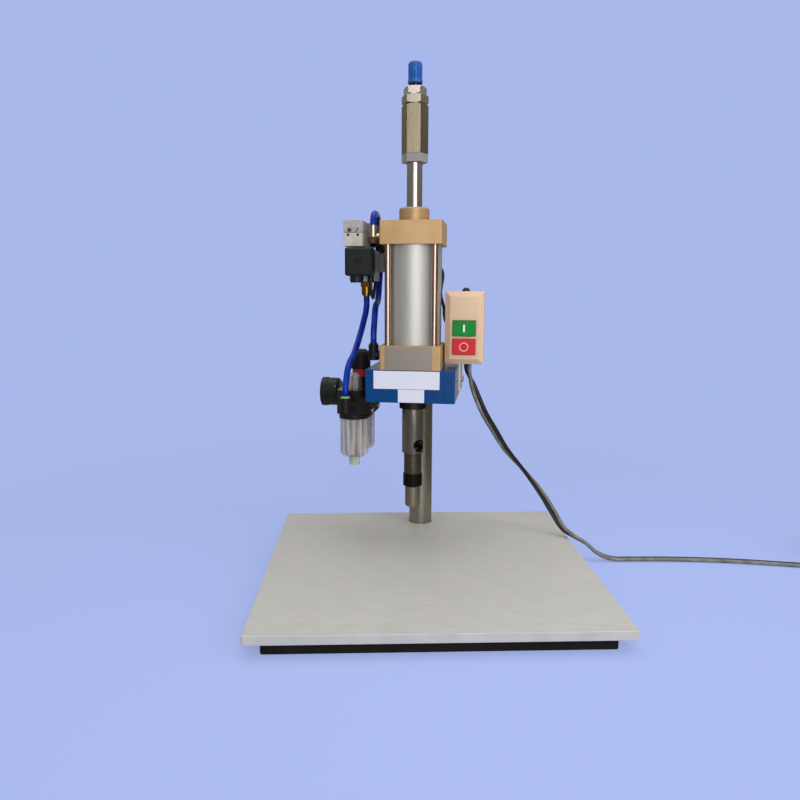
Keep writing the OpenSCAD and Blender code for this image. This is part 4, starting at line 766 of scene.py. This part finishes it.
# Fittings: a brass fitting under the valve, an elbow with a nickel top on the upper cap and black
# push-in elbows elsewhere. Each has a release ring at its mouth, green on the air unit.
brass = metal("fitting_brass", tint(176, 132, 66), 0.18, 0.32, 900, ROUND)
rounded("p_fitting", 0.0003, brass)
elbow_nickel = metal("elbow_nickel", tint(216, 210, 190), 0.2, 0.32, 500)
elbow_brown = cast_paint("elbow_brown", tint(88, 64, 46), 0.36, 0.5, 900)
elbow_black = cast_paint("elbow_black", tint(22, 22, 23), 0.32, 0.46, 900, gleam=0.25)
ring_green = cast_paint("ring_green", tint(120, 168, 120), 0.34, 0.46, 900)
cap_bottom, unit_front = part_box("upper_cap")[0].z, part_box("oiler_body")[0].y
green_from, brown_to = outlet_z + 12 * MM, cap_bottom + 16 * MM
cap_elbow_reach = 15 * MM
elbow_form = clean_copy("elbows")
whole = elbow_form.verts[:] + elbow_form.edges[:] + elbow_form.faces[:]
bmesh.ops.bisect_plane(elbow_form, geom=whole, plane_co=(0, 0, brown_to), plane_no=(0, 0, 1))
round_edges(elbow_form, 0.0004)
elbow_skins = [elbow_black, elbow_nickel, ring_green, elbow_brown]
elbows = show("elbows_finished", elbow_form, elbow_skins, "head")
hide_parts("elbows")
for face in elbows.data.polygons:
    spot, skin = face.center, elbow_black
    if spot.z > cap_bottom and abs(spot.y) < cap_elbow_reach:
        skin = elbow_nickel if spot.z > brown_to else elbow_brown
    elif spot.y < unit_front and spot.z > green_from:
        skin = ring_green
    face.material_index = elbow_skins.index(skin)

# Air unit bodies: the near one oils the air and the far one filters it and sets its pressure.
# Both are die-cast and finished in gloss black, on a black painted bracket.
unit_black = cast_paint("unit_black", tint(22, 21, 22), 0.16, 0.28, 300, 0.00012, cloud=40, spread=0.15)
set_values(unit_black, {"Coat Weight": 0.3})
rounded("oiler_body", 0.0008, unit_black, steps=3)
rounded("filter_body", 0.0008, unit_black, steps=3)
rounded("unit_bracket", 0.0004, base_paint)


# Bowls: clear polycarbonate cups with moulded ribs, which hang under the two bodies.
# Inside are the oiler's dip tube over its brass drain seat, and the filter's white element.
def foot_of(node):
    """The middle of the underside of a CAD node's box."""
    low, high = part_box(node)
    return Vector(((low.x + high.x) / 2, (low.y + high.y) / 2, low.z))


clear_cup = new_finish("clear_polycarbonate", tint(190, 184, 174), 0.12)
# Its colour runs in lengthwise light and dark streaks, a painted reflection and refraction of the ribs.
shade_by(clear_cup, grain(clear_cup, 260, ALONG), tint(132, 126, 116), tint(216, 212, 204), 0.4, 0.6)
gloss_by(clear_cup, grain(clear_cup, 90), 0.08, 0.2)
set_values(clear_cup, {"Alpha": 0.46, "Coat Weight": 0.6})
rounded("oiler_bowl", 0.0002, clear_cup)
rounded("filter_bowl", 0.0002, clear_cup)
oiler_foot, filter_foot = foot_of("oiler_bowl"), foot_of("filter_bowl")
cup_height = (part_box("oiler_bowl")[1].z - oiler_foot.z) / MM
tube_plastic = cast_paint("dip_tube_plastic", tint(206, 204, 190), 0.3, 0.4, 900)
dip_tube = [
    (1.4, 8), (2.2, 8), (2.2, cup_height - 9), (6, cup_height - 7), (6, cup_height + 4), (0, cup_height + 4),
]
turned("oiler_dip_tube", dip_tube, oiler_foot, tube_plastic)
drain_seat = [(0, 3), (5.4, 3), (5.4, 6), (3.4, 7), (3.4, 12), (0, 13)]
turned("oiler_drain_seat", drain_seat, oiler_foot, brass)
element_white = cast_paint("filter_element", tint(222, 220, 212), 0.7, 0.85, 1600, 0.0003)
element_line = [
    (0, 12), (7, 12), (8, 13), (8, 16), (6.6, 16.5),
    (6.6, cup_height - 6), (9, cup_height - 5), (9, cup_height + 4), (0, cup_height + 4),
]
turned("filter_element_core", element_line, filter_foot, element_white)

# Drain cock: a pale green knurled cock under the near bowl, turned by a quarter.
# It is moulded in half-clear plastic.
cock_plastic = cast_paint("drain_cock_plastic", tint(172, 181, 162), 0.3, 0.44, 900)
set_values(cock_plastic, {"Subsurface Weight": 0.2, "Subsurface Scale": 0.003})
rounded("drain_cock", 0.0003, cock_plastic)

# Sight dome: the clear cap in which the oil drips can be counted.
# It is polycarbonate too, over a small white drip nozzle.
rounded("sight_dome", 0.0004, clear_cup)
nozzle = [(0, 3.2), (2.6, 3.2), (2.6, 8), (1.2, 11), (1.2, 14), (0, 14)]
turned("drip_nozzle", nozzle, foot_of("sight_dome"), tube_plastic, steps=24)

# Pressure knob and its ring: a fluted black knob that turns the regulator's spindle, over a red
# ring with small grips. Both are moulded in plastic.
dial_black = cast_paint("dial_knob_black", tint(18, 19, 21), 0.4, 0.54, 1200, gleam=0.25)
rounded("dial_knob", 0.0003, dial_black)
ring_red = cast_paint("lock_ring_red", tint(160, 34, 40), 0.32, 0.44, 900)
rounded("lock_ring", 0.0003, ring_red)

# Gauge: a black steel case with a rolled rim and a brass screw, screwed into the far body.
# A white dial with printed ticks and plain numbers lies behind the pointer and the clear glass.
case_black = cast_paint("gauge_case_black", tint(22, 28, 26), 0.34, 0.48, 700, 0.00006, gleam=0.25)
rounded("gauge_case", 0.0005, case_black)
clear_glass = new_finish("gauge_glass_clear", tint(240, 242, 242), 0.04)
gloss_by(clear_glass, grain(clear_glass, 60), 0.02, 0.07)
set_values(clear_glass, {"Transmission Weight": 1.0})
rounded("gauge_glass", 0.0003, clear_glass)
pointer_red = cast_paint("pointer_red", tint(190, 40, 36), 0.4, 0.5, 900)
rounded("gauge_needle", 0.0001, pointer_red)
gauge_low, gauge_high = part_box("gauge_glass")
dial_x = -112.0 * MM
gauge_axis = Vector((dial_x, (gauge_low.y + gauge_high.y) / 2, (gauge_low.z + gauge_high.z) / 2))
dial_radius, dial_back, dial_face = 17, 0.02, 0.3
dial_white = cast_paint("dial_white", tint(232, 232, 228), 0.45, 0.55, 900, 0.00002, cloud=40, spread=0.02)
dial_line = [(0, dial_back), (dial_radius, dial_back), (dial_radius, dial_face), (0, dial_face)]
turned("gauge_dial", dial_line, gauge_axis, dial_white, facing="left")
dial_ink = cast_paint("dial_ink", tint(24, 24, 26), 0.5, 0.6, 900)
ink_thick = 0.05 * MM
ink_middle = gauge_axis - Vector((dial_face * MM, 0, 0))
scale_start, scale_sweep, scale_ticks, scale_end = -135, 270, 50, 10
tick_rim, number_radius = 15.8 * MM, 10.6 * MM
long_tick, short_tick = (13.2 * MM, 0.22 * MM), (14.4 * MM, 0.11 * MM)
ticks = bmesh.new()
for i in range(scale_ticks + 1):
    a = radians(scale_start + scale_sweep * i / scale_ticks)
    outward = Vector((0, -sin(a), cos(a)))
    across = Vector((0, cos(a), sin(a)))
    inner, half = short_tick if i % 5 else long_tick
    bar = ((inner, -half), (inner, half), (tick_rim, half), (tick_rim, -half))
    ticks.faces.new([ticks.verts.new(ink_middle + outward * r + across * w) for r, w in bar])
thicken(ticks, (-ink_thick, 0, 0))
show("gauge_ticks", ticks, dial_ink, "head")
upright = Matrix(((0, 0, -1, 0), (-1, 0, 0, 0), (0, 1, 0, 0), (0, 0, 0, 1)))
for number in range(0, scale_end + 1, 2):
    a = radians(scale_start + scale_sweep * number / scale_end)
    name = "dial_number_%d" % number
    letters = bpy.data.curves.new(name, "FONT")
    letters.body = str(number)
    letters.size = 3.4 * MM
    letters.extrude = 0.04 * MM
    letters.align_x, letters.align_y = "CENTER", "CENTER"
    drawn = placed(name + "_outline", letters)
    digits = bmesh.new()
    digits.from_mesh(meshed(drawn))
    bpy.data.objects.remove(drawn)
    spot = ink_middle + Vector((-ink_thick, -number_radius * sin(a), number_radius * cos(a)))
    digits.transform(Matrix.Translation(spot) @ upright)
    show(name, digits, dial_ink, "head")
screw_back, screw_out, screw_up = 20 * MM, 16.2 * MM, 9 * MM
case_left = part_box("gauge_case")[0].x
screw_spot = (case_left + screw_back, gauge_axis.y - screw_out, gauge_axis.z + screw_up)
turned("gauge_screw", screw_head, screw_spot, brass, "front", 24)

# Switch box: two halves moulded in beige plastic, the front one with a bevelled rim.
# It hangs on a bracket of zinc-plated sheet beside the cylinder.
box_beige = cast_paint("box_beige", tint(208, 177, 144), 0.34, 0.46, 600, 0.00005, cloud=40, spread=0.04)
rounded("switch_cover", 0.0008, box_beige, steps=3)
rounded("switch_back", 0.0008, box_beige, steps=3)
zinc_sheet = metal("zinc_sheet", tint(190, 190, 186), 0.3, 0.46, 120)
rounded("switch_bracket", 0.0004, zinc_sheet)


# Buttons: a green start button with a white stroke and a red stop button with a pale ring.
# The marks are moulded into the caps in a second shot, so they move with them.
def button_mark(name, rims, node, material, sunk=0.02 * MM, rise=0.2 * MM):
    """A raised mark on a button's front: outlines in width and height, the second one a hole."""
    low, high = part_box(node)
    form = bmesh.new()
    centre = Vector(((low.x + high.x) / 2, low.y + sunk, (low.z + high.z) / 2))
    loops = [[form.verts.new(centre + Vector((x, 0, z))) for x, z in rim] for rim in rims]
    if len(loops) == 1:
        form.faces.new(loops[0])
    else:
        for i in range(len(loops[0])):
            j = (i + 1) % len(loops[0])
            form.faces.new((loops[0][i], loops[0][j], loops[1][j], loops[1][i]))
    thicken(form, (0, -rise, 0))
    show(name, form, material, body_of(node))


button_skins = (("start", "green", tint(8, 124, 44)), ("stop", "red", tint(194, 40, 42)))
for job, hue, colour in button_skins:
    cap_plastic = cast_paint(
        job + "_" + hue, colour, 0.3, 0.4, 600, 0.00003, cloud=60, spread=0.05, gleam=0.15,
    )
    rounded(job + "_button", 0.0008, cap_plastic, steps=3)
mark_white = cast_paint("mark_white", tint(226, 226, 222), 0.36, 0.44, 600, 0.00002, cloud=60, spread=0.03)
half_wide, half_tall = 1.1 * MM, 4.5 * MM
stroke = [(-half_wide, -half_tall), (half_wide, -half_tall), (half_wide, half_tall), (-half_wide, half_tall)]
button_mark("start_mark", [stroke], "start_button", mark_white)
ring_steps, ring_outside, ring_inside = 48, 5.5 * MM, 4.5 * MM
angles = [i * 2 * pi / ring_steps for i in range(ring_steps)]
circle = [[(r * cos(a), r * sin(a)) for a in angles] for r in (ring_outside, ring_inside)]
mark_pink = cast_paint("mark_pink", tint(236, 178, 172), 0.36, 0.44, 600, 0.00002, cloud=60, spread=0.03)
button_mark("stop_mark", circle, "stop_button", mark_pink)

# Glands: the black bush with the bend relief under the box, and the small dome on its top.
# They are moulded in soft plastic.
gland_black = cast_paint("gland_black", tint(26, 26, 28), 0.44, 0.56, 900)
rounded("cord_glands", 0.0003, gland_black)

# Small screws: zinc-plated cross-head screws of the brackets, the box and the valve.
# They are bought parts, all the same size.
rounded("m4_screws", 0.0002, bolt_zinc)


# Studio sweep: a sheet of pale lavender paper under the press, bent up into a wall behind it.
# It is lit evenly away from the press, and mirrors leave it out.
def join(tree, pairs):
    """Links each pair of an output and an input."""
    for source, socket in pairs:
        tree.links.new(source, socket)


sweep = bmesh.new()
sweep_front, sweep_wall, sweep_bend, sweep_side, sweep_top = -3.0, 3.0, 1.2, 4.0, 4.0
bend_steps = 12
sweep_row = [sweep.verts.new((-sweep_side, sweep_front, 0))]
for i in range(bend_steps + 1):
    a = i * pi / 2 / bend_steps
    bend_y = sweep_wall - sweep_bend + sweep_bend * sin(a)
    sweep_row.append(sweep.verts.new((-sweep_side, bend_y, sweep_bend * (1 - cos(a)))))
sweep_row.append(sweep.verts.new((-sweep_side, sweep_wall, sweep_top)))
sweep_edges = [sweep.edges.new(pair) for pair in zip(sweep_row, sweep_row[1:])]
run_out = bmesh.ops.extrude_edge_only(sweep, edges=sweep_edges)
moved = [v for v in run_out["geom"] if isinstance(v, bmesh.types.BMVert)]
bmesh.ops.translate(sweep, verts=moved, vec=(2 * sweep_side, 0, 0))
bmesh.ops.recalc_face_normals(sweep, faces=sweep.faces)
sweep_mesh = bpy.data.meshes.new("studio_sweep")
sweep.to_mesh(sweep_mesh)
sweep.free()
sweep_mesh.shade_smooth()
sweep_tone = tint(168, 184, 235)
sweep_paper = new_finish("sweep_paper", sweep_tone, 0.9)
set_values(sweep_paper, {"Specular IOR Level": 0.0})
sweep_nodes = sweep_paper.node_tree.nodes
even_glow = sweep_nodes.new("ShaderNodeEmission")
even_glow.inputs["Color"].default_value = (*sweep_tone, 1)
seen_rays = sweep_nodes.new("ShaderNodeLightPath")
sweep_place = sweep_nodes.new("ShaderNodeTexCoord")
from_press = sweep_nodes.new("ShaderNodeVectorMath")
from_press.operation = "LENGTH"
near, far, near_share, far_share = 0.3, 0.9, 0.6, 1.0
even_out = new_range(sweep_nodes, near, far, near_share, far_share)
even_share = sweep_nodes.new("ShaderNodeMath")
even_share.operation = "MULTIPLY"
paper_mix = sweep_nodes.new("ShaderNodeMixShader")
join(sweep_paper.node_tree, (
    (sweep_place.outputs["Object"], from_press.inputs[0]),
    (from_press.outputs["Value"], even_out.inputs["Value"]),
    (even_out.outputs["Result"], even_share.inputs[0]),
    (seen_rays.outputs["Is Camera Ray"], even_share.inputs[1]),
    (even_share.outputs["Value"], paper_mix.inputs["Fac"]),
    (shader_of(sweep_paper).outputs["BSDF"], paper_mix.inputs[1]),
    (even_glow.outputs["Emission"], paper_mix.inputs[2]),
    (paper_mix.outputs["Shader"], sweep_nodes["Material Output"].inputs["Surface"]),
))
sweep_mesh.materials.append(sweep_paper)
studio_sweep = placed("studio_sweep", sweep_mesh)
studio_sweep.visible_glossy = False

# Room: dim brown walls with a pale ceiling and a paler wall behind, which light the press and
# show in its polished metal. The camera itself sees the tone of the paper there.
room = bpy.data.worlds.new("dim_room")
bpy.context.scene.world = room
room.use_nodes = True
room_nodes = room.node_tree.nodes
room_place = room_nodes.new("ShaderNodeTexCoord")
room_split = room_nodes.new("ShaderNodeSeparateXYZ")
room_height = new_range(room_nodes, -1, 1)
room_ramp = room_nodes.new("ShaderNodeValToRGB")
floor_height, wall_height, ceiling_height = 0.3, 0.5, 0.9
stops = room_ramp.color_ramp.elements
stops[0].position = floor_height
stops[0].color = (*tint(152, 145, 134), 1)
stops[1].position = ceiling_height
stops[1].color = (*tint(226, 224, 222), 1)
stops.new(wall_height).color = (*tint(98, 90, 78), 1)
brown_walls = room_nodes["Background"]
brown_walls.inputs["Strength"].default_value = 0.8
back_wall = room_nodes.new("ShaderNodeBackground")
back_wall.inputs["Color"].default_value = (*tint(178, 172, 166), 1)
wall_edge, wall_middle = 0.88, 0.97
wall_facing = new_range(room_nodes, wall_edge, wall_middle)
wall_mix = room_nodes.new("ShaderNodeMixShader")
far_paper = room_nodes.new("ShaderNodeBackground")
far_paper.inputs["Color"].default_value = (*sweep_tone, 1)
room_rays = room_nodes.new("ShaderNodeLightPath")
room_mix = room_nodes.new("ShaderNodeMixShader")
join(room.node_tree, (
    (room_place.outputs["Generated"], room_split.inputs["Vector"]),
    (room_split.outputs["Z"], room_height.inputs["Value"]),
    (room_height.outputs["Result"], room_ramp.inputs["Fac"]),
    (room_ramp.outputs["Color"], brown_walls.inputs["Color"]),
    (room_split.outputs["Y"], wall_facing.inputs["Value"]),
    (wall_facing.outputs["Result"], wall_mix.inputs["Fac"]),
    (brown_walls.outputs["Background"], wall_mix.inputs[1]),
    (back_wall.outputs["Background"], wall_mix.inputs[2]),
    (room_rays.outputs["Is Camera Ray"], room_mix.inputs["Fac"]),
    (wall_mix.outputs["Shader"], room_mix.inputs[1]),
    (far_paper.outputs["Background"], room_mix.inputs[2]),
    (room_mix.outputs["Shader"], room_nodes["World Output"].inputs["Surface"]),
))

# Soft boxes: large lamps in front and above, which polished metal mirrors, and fill from both
# sides, which it doesn't. All are turned towards the middle of the press.
lamp_aim = Vector((0.05, 0.03, 0.25))
soft_boxes = (
    ("front_box", (0.42, -1.45, 0.62), (1.0, 1.2), 13, (1.0, 0.98, 0.95), True),
    ("left_box", (-1.25, -0.95, 1.1), (0.7, 1.4), 4.5, (1.0, 0.98, 0.95), False),
    ("right_box", (1.35, -0.5, 0.7), (0.7, 1.2), 9, (0.98, 0.98, 0.98), False),
    ("top_box", (0.1, 0.1, 1.9), (1.8, 1.4), 13, (0.98, 0.99, 1.0), True),
)
for name, place, size, watts, colour, mirrored in soft_boxes:
    lamp = bpy.data.lights.new(name, "AREA")
    lamp.shape = "RECTANGLE"
    lamp.size, lamp.size_y = size
    lamp.energy = watts
    lamp.color = colour
    box = placed(name, lamp)
    box.location = place
    box.visible_glossy = mirrored
    box.rotation_mode = "QUATERNION"
    box.rotation_quaternion = (lamp_aim - Vector(place)).to_track_quat("-Z", "Y")
